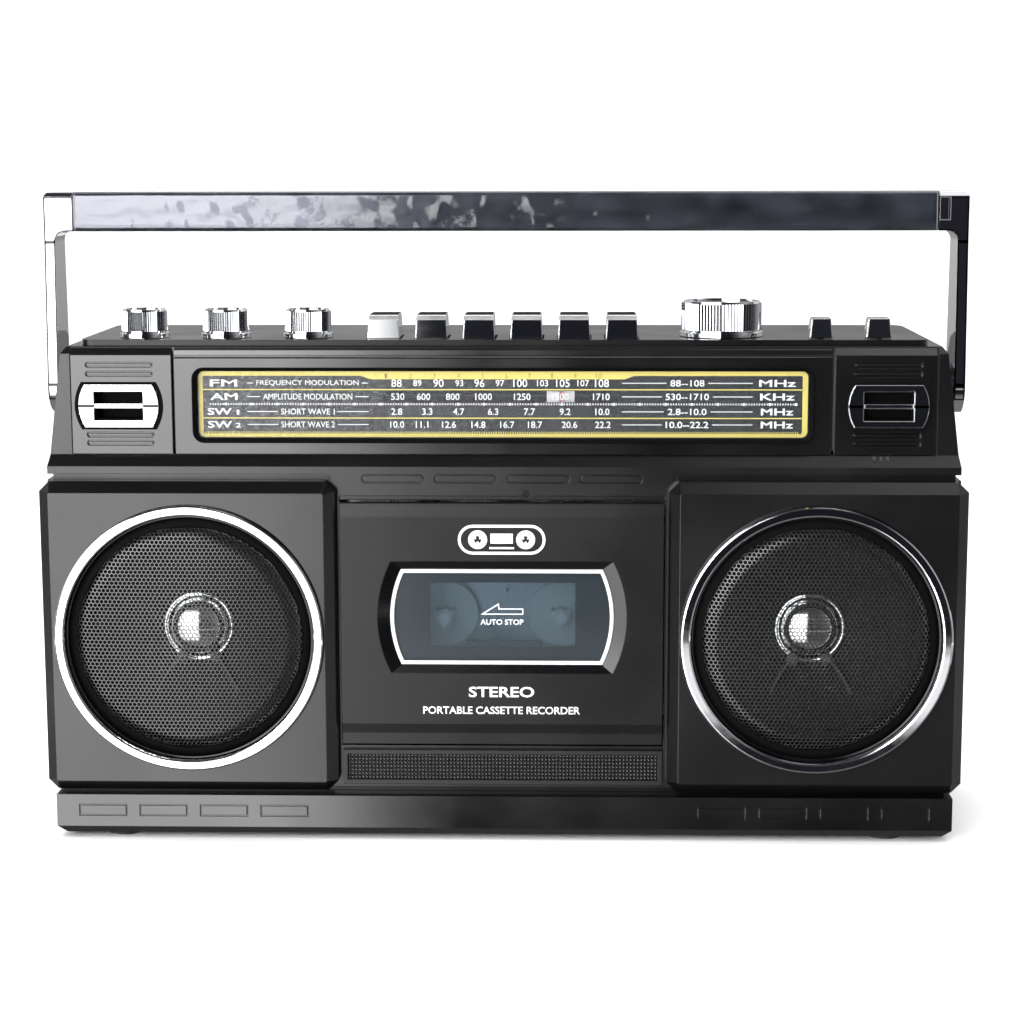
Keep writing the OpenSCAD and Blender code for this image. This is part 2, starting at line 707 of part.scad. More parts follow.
module drive_motor() {
    y0 = -10;
    color([0.62, 0.63, 0.65]) {
        difference() {
            union() {
                rod_y(14, y0, 6, motor_x, motor_z);
                rod_y(4, y0 - 1.5, y0 + eps, motor_x, motor_z);
            }
            rod_y(1.05, y0 - 3, y0 + 8, motor_x, motor_z, small);
        }
        // Bracket that ties the motor to the deck plate
        difference() {
            union() {
                span([motor_x + 12, deck_y + deck_t, motor_z - 12], [motor_x + 16.5, 0, motor_z + 12]);
                span([motor_x - 17, deck_y + deck_t, motor_z - 18], [motor_x + 16.5, 0, motor_z - 13.5]);
            }
            rod_y(14, -50, 20, motor_x, motor_z);
        }
    }
}

module motor_pulley() {
    color([0.8, 0.65, 0.35]) {
        difference() {
            rod_y(4.8, -18.4, -13.4, motor_x, motor_z);
            difference() {
                rod_y(6, -17.7, -14.3, motor_x, motor_z);
                rod_y(4, -18, -14, motor_x, motor_z);
            }
        }
        rod_y(1, -13.4 - eps, -3, motor_x, motor_z, small);
    }
}

module drive_belt() {
    fly_r = 24.1;
    pul_r = 4.1;
    t = 0.8;
    color([0.05, 0.05, 0.05]) slab_y(-17.4, -14.6) difference() {
        hull() {
            translate([capstan_x, capstan_z]) circle(r = fly_r + t, $fn = 64);
            translate([motor_x, motor_z]) circle(r = pul_r + t, $fn = 32);
        }
        hull() {
            translate([capstan_x, capstan_z]) circle(r = fly_r, $fn = 64);
            translate([motor_x, motor_z]) circle(r = pul_r, $fn = 32);
        }
    }
}

module flywheel() {
    color([0.6, 0.6, 0.62]) {
        rod_y(24, -18.8, -13.2, capstan_x, capstan_z, fine);
        rod_y(capstan_r, -35.4, -10, capstan_x, capstan_z, small);
    }
}

// Turntable, hub and three drive fins
module reel(x) {
    tip_y = -35;
    translate([x, 0, reel_z]) difference() {
        union() {
            rod_y(12, -27.3, -25, 0, 0, fine);
            rod_y(3, tip_y + 1, -27, 0, 0);
            rod_y(2.2, tip_y, tip_y + 1 + eps, 0, 0);
            for (a = [90, 210, 330]) rotate([0, a, 0]) span([2, tip_y + 1.5, -0.6], [4.3, -27, 0.6]);
            rod_y(2.6, -25 - eps, deck_y - 0.3, 0, 0);
        }
        rod_y(1 + run_gap, -33.5, deck_y, 0, 0, small);
    }
}

module supply_reel() {
    color([0.9, 0.9, 0.88]) reel(reel_x);
}

module takeup_reel() {
    color([0.9, 0.9, 0.88]) reel(-reel_x);
}

// Sliding plate that brings the heads into the cassette
module head_plate() {
    y0 = -25.8;
    color([0.75, 0.75, 0.77]) {
        difference() {
            span([-33.5, y0, 118], [33.5, y0 + 1, 136]);
            both_sides() translate([28, 0, 129.6]) slab_y(y0 - 1, y0 + 2) rotate([0, 0, 90]) stadium(8.6, 3.4);
        }
        span([-6, -29.5, 119], [6, y0 + eps, 121]);
        span([17, -29.5, 119], [25, y0 + eps, 121]);
    }
}

module tape_heads() {
    tip = 1.6;
    color([0.8, 0.8, 0.82]) {
        span([-6.2, -36.5, 117.2 + tip], [6.2, -29.5 - eps, 124.2]);
        span([-3.5, -35.7, 117.2], [3.5, -30.3, 117.2 + tip + eps]);
    }
    color([0.2, 0.2, 0.2]) span([17, -36.5, 117.6], [25, -29.5 - eps, 123.6]);
}

module pinch_roller_arm() {
    y0 = -29.6;
    y1 = -28.4;
    pin_r = 1.2;
    color([0.7, 0.7, 0.72]) difference() {
        union() {
            slab_y(y0, y1) hull() {
                translate([pinch_pivot_x, pinch_pivot_z]) circle(r = 3.2, $fn = 32);
                translate([roller_x, roller_z]) circle(r = 2.6, $fn = 32);
            }
            rod_y(3.2, y0, deck_y - 0.4, pinch_pivot_x, pinch_pivot_z);
            rod_y(pin_r, -35.8, y0 + eps, roller_x, roller_z, small);
        }
        rod_y(1.5 + run_gap, y0 - 1, deck_y, pinch_pivot_x, pinch_pivot_z);
    }
}

module pinch_roller() {
    color([0.06, 0.06, 0.06]) difference() {
        rod_y(5.4, -35.4, -29.9, roller_x, roller_z);
        rod_y(1.2 + run_gap, -38, -29, roller_x, roller_z, small);
    }
}

// ---- keys, knobs and switches --------------------------------------------------------

module key_shaft() {
    color([0.75, 0.75, 0.77]) rod_x(key_shaft_r, -56.5, 56.5, key_axis_y, key_axis_z, small);
}

// One piano key: a bright cap above the plate and a lever back to the shaft
module key(i) {
    top = 190.2;
    skirt_z = 178;
    ridge = 1.7;
    draft = 0.55;
    x = (i - 2.5) * key_pitch;
    color([0.82, 0.83, 0.85]) translate([x, 0, 0]) difference() {
        union() {
            // The front edge is a bevel, and the sides lean in towards the top
            intersection() {
                slab_x(-key_w / 2, key_w / 2) polygon([[key_front_y, skirt_z], [key_front_y, top - ridge],
                    [key_front_y + ridge - 0.3, top - 0.2], [key_front_y + ridge + 0.3, top],
                    [key_back_y - 1, top], [key_back_y, top - 1.2], [key_back_y, skirt_z]]);
                slab_y(key_front_y - 1, key_back_y + 1) polygon([[-key_w / 2, skirt_z - 1],
                    [key_w / 2, skirt_z - 1], [key_w / 2, plate_z], [key_w / 2 - draft, top + eps],
                    [-key_w / 2 + draft, top + eps], [-key_w / 2, plate_z]]);
            }
            slab_x(-2, 2) polygon([[-22, skirt_z + eps], [-22, 174.5], [-16, 172], [key_axis_y, 169],
                [key_axis_y, 174], [-6, skirt_z + eps]]);
            rod_x(4, -3.5, 3.5, key_axis_y, key_axis_z);
        }
        rod_x(key_shaft_r + run_gap, -9, 9, key_axis_y, key_axis_z, small);
    }
}

module record_key() { key(0); }
module play_key() { key(1); }
module rewind_key() { key(2); }
module forward_key() { key(3); }
module stop_key() { key(4); }
module pause_key() { key(5); }

// Knurled knob on a skirt, dished on top, with its spindle
module knob(x, y, r, top, ribs, shaft, shaft_z) {
    skirt_z = plate_z + 0.3;
    rim = 1.1;
    color([0.85, 0.86, 0.88]) translate([x, y, 0]) difference() {
        union() {
            rod_z(r + 0.7, skirt_z, skirt_z + 1.4, 0, 0, fine);
            rod_z(r - 0.6, skirt_z, skirt_z + 2.4, 0, 0, fine);
            translate([0, 0, skirt_z + 2.3]) linear_extrude(height = top - skirt_z - 3)
                polygon(knurl(r, 0.4, ribs));
            rod_z(r - 0.8, top - 1, top, 0, 0, fine);
            rod_z(shaft, shaft_z, skirt_z + 1, 0, 0);
        }
        rod_z(r - 0.8 - rim, top - 1, top + 1, 0, 0, fine);
    }
}

knob_top = 192.1;
module volume_knob() { knob(knob_xs[0], knob_y, knob_r, knob_top, 60, spindle_r, 167); }
module tone_knob() { knob(knob_xs[1], knob_y, knob_r, knob_top, 60, spindle_r, 167); }
module balance_knob() { knob(knob_xs[2], knob_y, knob_r, knob_top, 60, spindle_r, 167); }
module tuning_knob() { knob(tuning_x, tuning_y, tuning_r, 194.6, 76, tuning_shaft_r, 159); }

// Cap of a slide switch, narrower at the top, on a flat stem
module switch_cap(x, w) {
    z0 = plate_z + 0.3;
    z1 = 189.2;
    color([0.8, 0.81, 0.83]) translate([x, switch_y, 0]) {
        intersection() {
            slab_y(-4, 4) polygon([[-w / 2, z0], [w / 2, z0], [w / 2 - 0.7, z1 - 0.5], [w / 2 - 1.2, z1],
                [-w / 2 + 1.2, z1], [-w / 2 + 0.7, z1 - 0.5]]);
            slab_x(-w, w) polygon([[-4, z0], [4, z0], [3.2, z1 - 0.5], [2.7, z1], [-2.7, z1], [-3.2, z1 - 0.5]]);
        }
        span([-1.2, -2, 174.2], [1.2, 2, z0 + eps]);
    }
}

module function_switch_knob() { switch_cap(function_x, 8.4); }
module band_switch_knob() { switch_cap(band_x, 9.2); }

// Three rotary controls, the tuning bush and two slide switches on their boards
module control_pots() {
    color([0.45, 0.35, 0.2]) span([-142, -29, 164.4], [-62, -11, 166]);
    color([0.6, 0.6, 0.62]) for (x = knob_xs) difference() {
        union() {
            span([x - 8, knob_y - 8, 166], [x + 8, knob_y + 8, 172]);
            rod_z(4.6, 172 - eps, top_z - 0.2, x, knob_y);
        }
        rod_z(spindle_r + run_gap, 166.6, top_z + 1, x, knob_y);
    }
    color([0.7, 0.6, 0.35]) difference() {
        rod_z(6.5, 172, top_z - 0.2, tuning_x, tuning_y);
        rod_z(tuning_shaft_r + run_gap, 171, top_z + 1, tuning_x, tuning_y);
    }
    color([0.65, 0.65, 0.67]) for (x = [function_x, band_x])
        span([x - 5, switch_y - 5, 167], [x + 5, switch_y + 19, 173.8]);
}

// ---- electronics ---------------------------------------------------------------------

module main_board() {
    y0 = 14;
    y1 = 15.6;
    color([0.1, 0.35, 0.15]) span([-120, y0, 70], [70, y1, 150]);
    color([0.1, 0.1, 0.12]) {
        span([-100, y1, 84], [-80, y1 + 4, 92]);
        span([-60, y1, 96], [-48, y1 + 3, 114]);
        span([-20, y1, 84], [4, y1 + 4, 94]);
        for (x = [-108, -92, 24, 40]) rod_y(5, y1, y1 + 16, x, 130, small);
        for (x = [-70, -40, 56]) rod_y(6.5, y1, y1 + 20, x, 80, small);
    }
    color([0.75, 0.75, 0.77]) for (x = [-30, -16, -2, 12]) span([x, y1, 118], [x + 8, y1 + 9, 126]);
    color([0.7, 0.7, 0.72]) span([20, y1, 92], [50, y1 + 12, 112]);
}

// Laminated core with its winding
module transformer() {
    x0 = 90;
    y0 = 14;
    z0 = 82;
    color([0.4, 0.4, 0.42]) difference() {
        span([x0, y0 + 6, z0], [x0 + 36, y0 + 20, z0 + 30]);
        for (dx = [5, 22]) span([x0 + dx, y0, z0 + 5], [x0 + dx + 9, y0 + 30, z0 + 25]);
    }
    color([0.8, 0.6, 0.2]) difference() {
        span([x0 + 5.3, y0 + 1, z0 + 5.3], [x0 + 30.7, y0 + 25, z0 + 24.7]);
        span([x0 + 13.9, y0 + 5.9, z0], [x0 + 22.1, y0 + 20.1, z0 + 30]);
    }
}

module battery_cover() {
    hw = 127.5;
    color([0.07, 0.07, 0.075]) difference() {
        union() {
            span([-hw, back_y - 1.1, cell_z0 - 0.5], [hw, back_y, cell_z1 + 0.5]);
            span([-125.6, back_y - wall, cell_z0 + 1.4], [125.6, back_y - 1.1 + eps, cell_z1 - 1.4]);
        }
        // Grip ribs near the latch
        for (i = [0:5]) span([-16, back_y - 0.6, 52 + i * 1.4], [16, back_y + 1, 52.7 + i * 1.4]);
    }
}

// Plates and bent leaf springs at both ends of the compartment
module battery_contacts() {
    color([0.85, 0.85, 0.85]) for (s = [-1, 1]) translate([s * (cell_x - 0.5), 0, 0]) {
        span([-0.3, 20, 34], [0.3, 36, 50]);
        slab_y(25, 31) polygon([[-s * 0.29, 36], [-s * 4.5, 42], [-s * 0.29, 48], [-s * 0.29, 47.2],
            [-s * 3.6, 42], [-s * 0.29, 36.8]]);
    }
}

// ---- handle --------------------------------------------------------------------------

module handle_bar() {
    h = handle_z - grip_z0;
    color([0.85, 0.86, 0.88]) translate([0, 0, grip_z0 + h / 2]) slab_x(-grip_hw, grip_hw) difference() {
        round_rect(grip_d, h, 1.8);
        round_rect(grip_d - 5, h - 5, 0.8);
    }
}

// End pieces of the handle: a corner, and an arm that widens to the pivot
module handle_arms() {
    foot_r = 10.2;
    corner = 3.6;
    out_r = 1.5;
    color([0.85, 0.86, 0.88]) both_sides() difference() {
        intersection() {
            slab_y(-foot_r - 1, foot_r + 1) difference() {
                union() {
                    translate([handle_hw - out_r, handle_z - out_r]) circle(r = out_r, $fn = small);
                    polygon([[grip_hw + 0.1, grip_z0], [arm_in - corner, grip_z0], [arm_in, grip_z0 - corner],
                        [arm_in, 150], [handle_hw, 150], [handle_hw, handle_z - out_r],
                        [handle_hw - out_r, handle_z - out_r], [handle_hw - out_r, handle_z],
                        [grip_hw + 0.1, handle_z]]);
                }
                translate([arm_in - corner, grip_z0 - corner]) circle(r = corner, $fn = mid);
            }
            slab_x(grip_hw, handle_hw) union() {
                polygon([[-foot_r, pivot_z], [foot_r, pivot_z], [grip_d / 2, grip_z0 - 4],
                    [grip_d / 2, handle_z - 1.8], [grip_d / 2 - 1.8, handle_z], [-grip_d / 2 + 1.8, handle_z],
                    [-grip_d / 2, handle_z - 1.8], [-grip_d / 2, grip_z0 - 4]]);
                translate([0, pivot_z]) circle(r = foot_r, $fn = fine);
            }
        }
        rod_x(pivot_r + run_gap, arm_in - 1, handle_hw + 1, 0, pivot_z);
        rod_x(5.1, handle_hw - 1.5, handle_hw + 1, 0, pivot_z);
    }
}

// Headed pins through the arms into the cabinet's bosses
module handle_pivots() {
    color([0.8, 0.8, 0.82]) both_sides() {
        rod_x(pivot_r, 152, handle_hw - 1.4, 0, pivot_z);
        difference() {
            rod_x(4.8, handle_hw - 1.4 - eps, handle_hw - 0.2, 0, pivot_z);
            span([handle_hw - 0.9, -6, pivot_z - 0.5], [handle_hw, 6, pivot_z + 0.5]);
        }
    }
}

// ---- antenna -------------------------------------------------------------------------

// Fork that turns on an upright pin, with the cross pin of the tilt joint
module antenna_base() {
    color([0.8, 0.8, 0.82]) {
        rod_z(3.4, rabbet_z + 0.3, rabbet_z + 1.1, mast_x, mast_y);
        rod_z(1.5, rabbet_z - wall - 0.4, rabbet_z + 0.3 + eps, mast_x, mast_y, small);
        for (y = [mast_y - 3, mast_y + 1.6]) {
            rod_y(3.9, y, y + 1.4, mast_x, mast_z);
            span([mast_x - 3, y, rabbet_z + 0.4], [mast_x + 3, y + 1.4, mast_z]);
        }
        rod_y(1, mast_y - 2, mast_y + 2, mast_x, mast_z, small);
    }
}

// The telescopic rod, pushed together, with its eye and its tip
module antenna_tubes() {
    x0 = mast_x + 4.6;
    x1 = 140;
    color([0.85, 0.85, 0.87]) difference() {
        union() {
            rod_x(3, x0, x1, mast_y, mast_z);
            rod_x(2.2, x1 - eps, x1 + 4, mast_y, mast_z);
            rod_x(3, x1 + 4 - eps, x1 + 8, mast_y, mast_z);
            rod_y(3, mast_y - 1.4, mast_y + 1.4, mast_x, mast_z);
            span([mast_x, mast_y - 1.4, mast_z - 1.5], [x0 + 1, mast_y + 1.4, mast_z + 1.5]);
        }
        rod_y(1 + run_gap, mast_y - 3, mast_y + 3, mast_x, mast_z, small);
    }
}

// ---- fasteners and feet --------------------------------------------------------------

module cabinet_screws() {
    color([0.75, 0.75, 0.77]) {
        both_sides() for (p = screw_spots) {
            rod_y(screw_r, 1, 40 + eps, p[0], p[1], small);
            difference() {
                rod_y(3, 40, 42, p[0], p[1], small);
                span([p[0] - 2, 41, p[1] - 0.4], [p[0] + 2, 43, p[1] + 0.4]);
                span([p[0] - 0.4, 41, p[1] - 2], [p[0] + 0.4, 43, p[1] + 2]);
            }
        }
        both_sides() for (z = deck_screw_z) {
            rod_y(1.3, deck_y - 8, deck_y + deck_t + eps, deck_screw_x, z, small);
            rod_y(2.6, deck_y + deck_t, deck_y + deck_t + 1.6, deck_screw_x, z, small);
        }
    }
}

module rubber_feet() {
    color([0.04, 0.04, 0.04]) both_sides() for (y = [-34, 34]) rod_z(7, 0, foot_h, 140, y);
}

front_cabinet();
rear_cabinet();
base_tray();
top_plate();
speaker_panels();
speaker_rings();
speaker_grilles();
speaker_drivers();
speaker_cones();
dial_surround();
dial_scale();
dial_window();
dial_pointer();
dial_drum();
dial_cord();
tuning_capacitor();
corner_blocks();
corner_bezels();
vent_strip();
microphone();
door_panel();
door_window();
cassette_carrier();
deck_chassis();
capstan_bush();
drive_motor();
motor_pulley();
drive_belt();
flywheel();
supply_reel();
takeup_reel();
head_plate();
tape_heads();
pinch_roller_arm();
pinch_roller();
key_shaft();
record_key();
play_key();
rewind_key();
forward_key();
stop_key();
pause_key();
volume_knob();
tone_knob();
balance_knob();
tuning_knob();
function_switch_knob();
band_switch_knob();
control_pots();
main_board();
transformer();
battery_cover();
battery_contacts();
handle_bar();
handle_arms();
handle_pivots();
antenna_base();
antenna_tubes();
cabinet_screws();
rubber_feet();
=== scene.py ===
"""Looks of a portable radio cassette recorder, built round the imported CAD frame.

Lengths of pieces are in millimetres, and those in the materials are in metres.
"""

import math
import random

import bmesh
import bpy
from mathutils import Matrix, Vector
from mathutils.geometry import interpolate_bezier

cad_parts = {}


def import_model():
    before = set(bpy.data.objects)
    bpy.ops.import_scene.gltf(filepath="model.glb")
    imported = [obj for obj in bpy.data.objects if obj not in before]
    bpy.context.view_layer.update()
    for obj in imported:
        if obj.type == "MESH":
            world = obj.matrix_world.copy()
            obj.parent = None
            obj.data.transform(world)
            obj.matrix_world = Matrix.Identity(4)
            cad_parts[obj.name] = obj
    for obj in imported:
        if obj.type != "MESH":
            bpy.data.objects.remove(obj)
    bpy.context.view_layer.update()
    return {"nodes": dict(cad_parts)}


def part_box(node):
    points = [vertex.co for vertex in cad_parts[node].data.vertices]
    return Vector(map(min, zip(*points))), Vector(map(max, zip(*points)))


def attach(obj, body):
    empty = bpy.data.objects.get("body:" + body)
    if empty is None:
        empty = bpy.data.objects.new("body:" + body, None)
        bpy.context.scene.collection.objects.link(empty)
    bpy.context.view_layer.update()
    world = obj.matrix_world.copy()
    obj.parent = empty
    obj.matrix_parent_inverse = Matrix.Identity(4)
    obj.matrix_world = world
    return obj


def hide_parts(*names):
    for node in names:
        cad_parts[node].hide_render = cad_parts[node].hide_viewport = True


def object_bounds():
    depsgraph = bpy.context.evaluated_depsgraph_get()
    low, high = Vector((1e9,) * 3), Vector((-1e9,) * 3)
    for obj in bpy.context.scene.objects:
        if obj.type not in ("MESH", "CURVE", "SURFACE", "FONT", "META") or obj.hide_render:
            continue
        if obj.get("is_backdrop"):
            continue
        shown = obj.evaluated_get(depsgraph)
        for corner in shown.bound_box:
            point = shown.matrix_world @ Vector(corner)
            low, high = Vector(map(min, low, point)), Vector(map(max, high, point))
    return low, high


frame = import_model()

MM = 0.001
NODES = frame["nodes"]


def mm(x, y, z):
    return Vector((x * MM, y * MM, z * MM))


def span(node):
    """Lowest and highest corner of a CAD node in millimetres."""
    low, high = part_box(node)
    return low / MM, high / MM


# ---- materials -----------------------------------------------------------------------

M = {}


class Tree:
    """A node tree in the making."""

    def __init__(self, tree):
        self.tree = tree
        tree.nodes.clear()

    def node(self, kind, **settings):
        made = self.tree.nodes.new("ShaderNode" + kind)
        for key, value in settings.items():
            setattr(made, key, value)
        return made

    def link(self, source, target):
        self.tree.links.new(source, target)

    def put(self, value, socket):
        """Sets a number, vector or colour on a socket, or links another socket to it."""
        if isinstance(value, (int, float)):
            socket.default_value = value
        elif isinstance(value, tuple):
            socket.default_value = (*value, 1) if socket.type == "RGBA" else value
        else:
            self.link(value, socket)

    def fill(self, made, **inputs):
        for key, value in inputs.items():
            self.put(value, made.inputs[key.replace("_", " ")])
        return made

    def math(self, operation, a, b=0.5):
        made = self.node("Math", operation=operation)
        self.put(a, made.inputs[0])
        self.put(b, made.inputs[1])
        return made.outputs[0]

    def rescale(self, value, low, high, start=0.0, end=1.0, shape="LINEAR"):
        made = self.node("MapRange", interpolation_type=shape)
        self.fill(made, Value=value, From_Min=start, From_Max=end, To_Min=low, To_Max=high)
        return made.outputs["Result"]

    def step(self, value, start, end):
        return self.rescale(value, 0.0, 1.0, start, end, "SMOOTHSTEP")

    def mix(self, factor, a, b, blend="MIX"):
        """A colour between a and b; each is a colour or a socket."""
        made = self.node("Mix", data_type="RGBA", blend_type=blend)
        self.put(factor, made.inputs["Factor"])
        for value, socket in zip((a, b), [s for s in made.inputs if s.type == "RGBA"]):
            self.put(value, socket)
        return [s for s in made.outputs if s.type == "RGBA"][0]

    def shader(self, kind, **inputs):
        return self.fill(self.node(kind), **inputs).outputs[0]

    def over(self, share, under, top):
        """One shader laid over another by this share."""
        made = self.node("MixShader")
        for value, socket in zip((share, under, top), made.inputs):
            self.put(value, socket)
        return made.outputs[0]


class Material(Tree):
    """A material in the making, kept in M, with object coordinates in metres."""

    def __init__(self, name):
        M[name] = bpy.data.materials.new(name)
        M[name].use_nodes = True
        super().__init__(M[name].node_tree)
        self.output = self.node("OutputMaterial")
        self.coords = self.node("TexCoord").outputs["Object"]

    def mapped(self, **change):
        """The object coordinates, stretched or turned."""
        return self.fill(self.node("Mapping"), Vector=self.coords, **change).outputs["Vector"]

    def noise(self, scale, detail=2.0, stretch=None, rough=0.5):
        """A noise value over the object, its scale in features per metre."""
        source = self.mapped(Scale=stretch) if stretch else self.coords
        made = self.fill(self.node("TexNoise"), Scale=scale, Detail=detail, Roughness=rough, Vector=source)
        return made.outputs["Fac"]

    def rounded(self, radius):
        """A normal that rounds sharp edges by this many metres."""
        return self.fill(self.node("Bevel", samples=4), Radius=radius).outputs["Normal"]

    def edges(self, rounded):
        """1 along sharp edges and 0 on open faces."""
        dot = self.node("VectorMath", operation="DOT_PRODUCT")
        self.link(rounded, dot.inputs[0])
        self.link(self.node("NewGeometry").outputs["Normal"], dot.inputs[1])
        return self.rescale(dot.outputs["Value"], 1.0, 0.0, 0.75, 0.995)

    def outside(self, amount):
        """An amount that holds on faces seen from outside and is 0 on faces seen from inside."""
        back = self.node("NewGeometry").outputs["Backfacing"]
        return self.math("MULTIPLY", amount, self.math("SUBTRACT", 1.0, back))

    def bump(self, height, strength, distance, normal=None):
        made = self.fill(self.node("Bump"), Height=height, Strength=strength, Distance=distance)
        if normal is not None:
            self.link(normal, made.inputs["Normal"])
        return made.outputs["Normal"]

    def surface(self, shader):
        self.link(shader, self.output.inputs["Surface"])

    def principled(self, **inputs):
        self.surface(self.shader("BsdfPrincipled", **inputs))


def shaded(colour, share, lift=0.0):
    """A darker or lighter shade of a colour."""
    return tuple(min(1.0, c * share + lift) for c in colour)


def plastic(name, colour, rough, grain=0.12, edge_highlight=0.5, grain_scale=2600.0, spread=0.12, edge=0.0004,
            shine=0.5):
    """Moulded plastic: fine texture, slight patches of sheen, and polished edges made paler as a painted
    highlight.
    """
    m = Material(name)
    normal = m.rounded(edge)
    edges = m.edges(normal)
    patches = m.noise(28.0, 3.0)
    fine = m.noise(grain_scale, 2.0, rough=0.6)
    dust = m.rescale(m.noise(420.0, 4.0, rough=0.7), 0.0, 1.0, 0.62, 0.8)
    base = m.mix(patches, shaded(colour, 1 - spread), shaded(colour, 1 + spread))
    base = m.mix(m.math("MULTIPLY", dust, 0.08), base, shaded(colour, 1.0, 0.03))
    # Painted highlight: the colour turns paler along sharp edges
    base = m.mix(m.math("MULTIPLY", edges, edge_highlight), base, shaded(colour, 1.9, 0.008))
    roughness = m.rescale(patches, rough - 0.04, rough + 0.04, 0.3, 0.7)
    roughness = m.math("SUBTRACT", roughness, m.math("MULTIPLY", edges, 0.06))
    roughness = m.math("ADD", roughness, m.math("MULTIPLY", dust, 0.05))
    m.principled(
        Base_Color=base, Roughness=roughness, Specular_IOR_Level=shine,
        Normal=m.bump(fine, grain, 0.00004, normal),
    )


def metal(name, colour, rough, wave=0.05, scratch=0.04, edge=0.00025):
    """Plated or turned metal: soft waviness, fine hair scratches and slight smudges."""
    m = Material(name)
    smudge = m.noise(90.0, 4.0, rough=0.65)
    hair = m.noise(900.0, 3.0, stretch=(0.06, 1.0, 1.0), rough=0.7)
    roughness = m.rescale(smudge, rough * 0.6, rough * 1.7, 0.3, 0.75)
    roughness = m.math("ADD", roughness, m.math("MULTIPLY", m.rescale(hair, 0.0, 1.0, 0.55, 0.8), scratch))
    normal = m.bump(m.noise(150.0, 1.0), wave, 0.0002, m.rounded(edge))
    normal = m.bump(hair, scratch, 0.00002, normal)
    m.principled(
        Base_Color=m.mix(smudge, shaded(colour, 0.97), colour), Metallic=1.0,
        Roughness=roughness, Normal=normal,
    )


def paper(name, colour):
    """Pressed fibre with a mottled, rough face."""
    m = Material(name)
    fibres = m.noise(1500.0, 5.0, stretch=(1.0, 1.0, 0.5), rough=0.75)
    base = m.mix(m.noise(120.0, 3.0), shaded(colour, 0.7), shaded(colour, 1.35))
    base = m.mix(m.rescale(fibres, 0.0, 0.25, 0.5, 0.8), base, (0.12, 0.12, 0.12))
    m.principled(Base_Color=base, Roughness=m.rescale(fibres, 0.7, 0.95), Normal=m.bump(fibres, 0.5, 0.0001))


def pane(name, tint, dull, haze, share, gloss=1.0):
    """A clear moulded window: mostly see-through, a mirror at grazing angles, a share of haze."""
    m = Material(name)
    streaks = m.noise(60.0, 3.0, stretch=(1.0, 1.0, 0.3))
    clear = m.shader("BsdfTransparent", Color=tint)
    veil = m.shader(
        "BsdfPrincipled", Base_Color=m.mix(streaks, shaded(haze, 0.8), shaded(haze, 1.2)),
        Roughness=0.5, Specular_IOR_Level=0.0,
    )
    mirror = m.shader("BsdfGlossy", Roughness=m.rescale(m.noise(700.0, 3.0), dull, dull * 2.0, 0.3, 0.7))
    fresnel = m.shader("Fresnel", IOR=1.0 + 0.49 * gloss)
    m.surface(m.over(m.outside(fresnel), m.over(share, clear, veil), mirror))


def wrap(name):
    """Crumpled clear film with a little haze and a sharp sheen."""
    m = Material(name)
    crumple = m.node("TexVoronoi", feature="DISTANCE_TO_EDGE")
    m.fill(crumple, Scale=95.0, Vector=m.mapped(Scale=(0.5, 1.0, 0.8)))
    soft = m.noise(160.0, 3.0, stretch=(0.5, 1.0, 1.0))
    height = m.math("ADD", m.math("MULTIPLY", crumple.outputs["Distance"], 0.6), soft)
    normal = m.bump(height, 0.22, 0.0012)
    clear = m.shader("BsdfTransparent", Color=(0.92, 0.93, 0.95))
    veil = m.shader("BsdfDiffuse", Color=(0.30, 0.33, 0.42))
    mirror = m.shader("BsdfGlossy", Roughness=0.08, Normal=normal)
    fresnel = m.shader("Fresnel", IOR=1.65, Normal=normal)
    sheet = m.over(m.rescale(soft, 0.03, 0.09, 0.3, 0.7), clear, veil)
    m.surface(m.over(m.outside(fresnel), sheet, mirror))


def laminate(name):
    """Circuit board: green lacquer with paler copper tracks under it."""
    m = Material(name)
    tracks = m.fill(
        m.node("TexBrick"), Scale=90.0, Mortar_Size=0.03, Mortar=(0.06, 0.30, 0.10),
        Color1=(0.02, 0.12, 0.05), Color2=(0.03, 0.16, 0.06),
        Vector=m.mapped(Rotation=(math.radians(90), 0, 0)),
    )
    fine = m.noise(1800.0, 2.0)
    m.principled(
        Base_Color=tracks.outputs["Color"], Roughness=m.rescale(fine, 0.3, 0.5),
        Normal=m.bump(fine, 0.1, 0.00005),
    )


def fibre(name, colour):
    """Twisted or woven thread."""
    m = Material(name)
    wave = m.node("TexWave", wave_type="BANDS", bands_direction="DIAGONAL")
    twist = m.fill(wave, Scale=600.0, Distortion=1.5, Vector=m.coords).outputs["Fac"]
    base = m.mix(twist, shaded(colour, 0.6), colour)
    m.principled(Base_Color=base, Roughness=0.85, Normal=m.bump(twist, 0.5, 0.0001))


def paint(name, colour, rough=0.45):
    """Screen-printed ink with slightly uneven cover."""
    m = Material(name)
    cover = m.noise(1400.0, 3.0)
    m.principled(
        Base_Color=m.mix(cover, shaded(colour, 0.9), shaded(colour, 1.05)),
        Roughness=m.rescale(cover, rough - 0.06, rough + 0.06),
        Normal=m.bump(cover, 0.08, 0.00002),
    )


BLACK = (0.0042, 0.0042, 0.0046)
CHROME = (0.90, 0.91, 0.93)
plastic("black_plastic", BLACK, 0.22, grain=0.08, shine=0.65)
plastic("base_plastic", BLACK, 0.12, grain=0.04, shine=1.0)
plastic("door_plastic", (0.0035, 0.0035, 0.0035), 0.26, grain=0.06, shine=0.42)
plastic("panel_plastic", (0.0035, 0.0035, 0.0037), 0.20, grain=0.08, grain_scale=3200.0, shine=0.66)
plastic("tuner_plastic", BLACK, 0.15, grain=0.05, shine=1.0)
plastic("top_plastic", BLACK, 0.22, grain=0.05, shine=0.35)
plastic("line_black", (0.003, 0.003, 0.003), 0.6, grain=0.10, edge_highlight=0.0, shine=0.05)
plastic("stud_plastic", BLACK, 0.12, grain=0.03, shine=1.0)
plastic("dark_plastic", (0.006, 0.006, 0.0065), 0.32, grain=0.12)
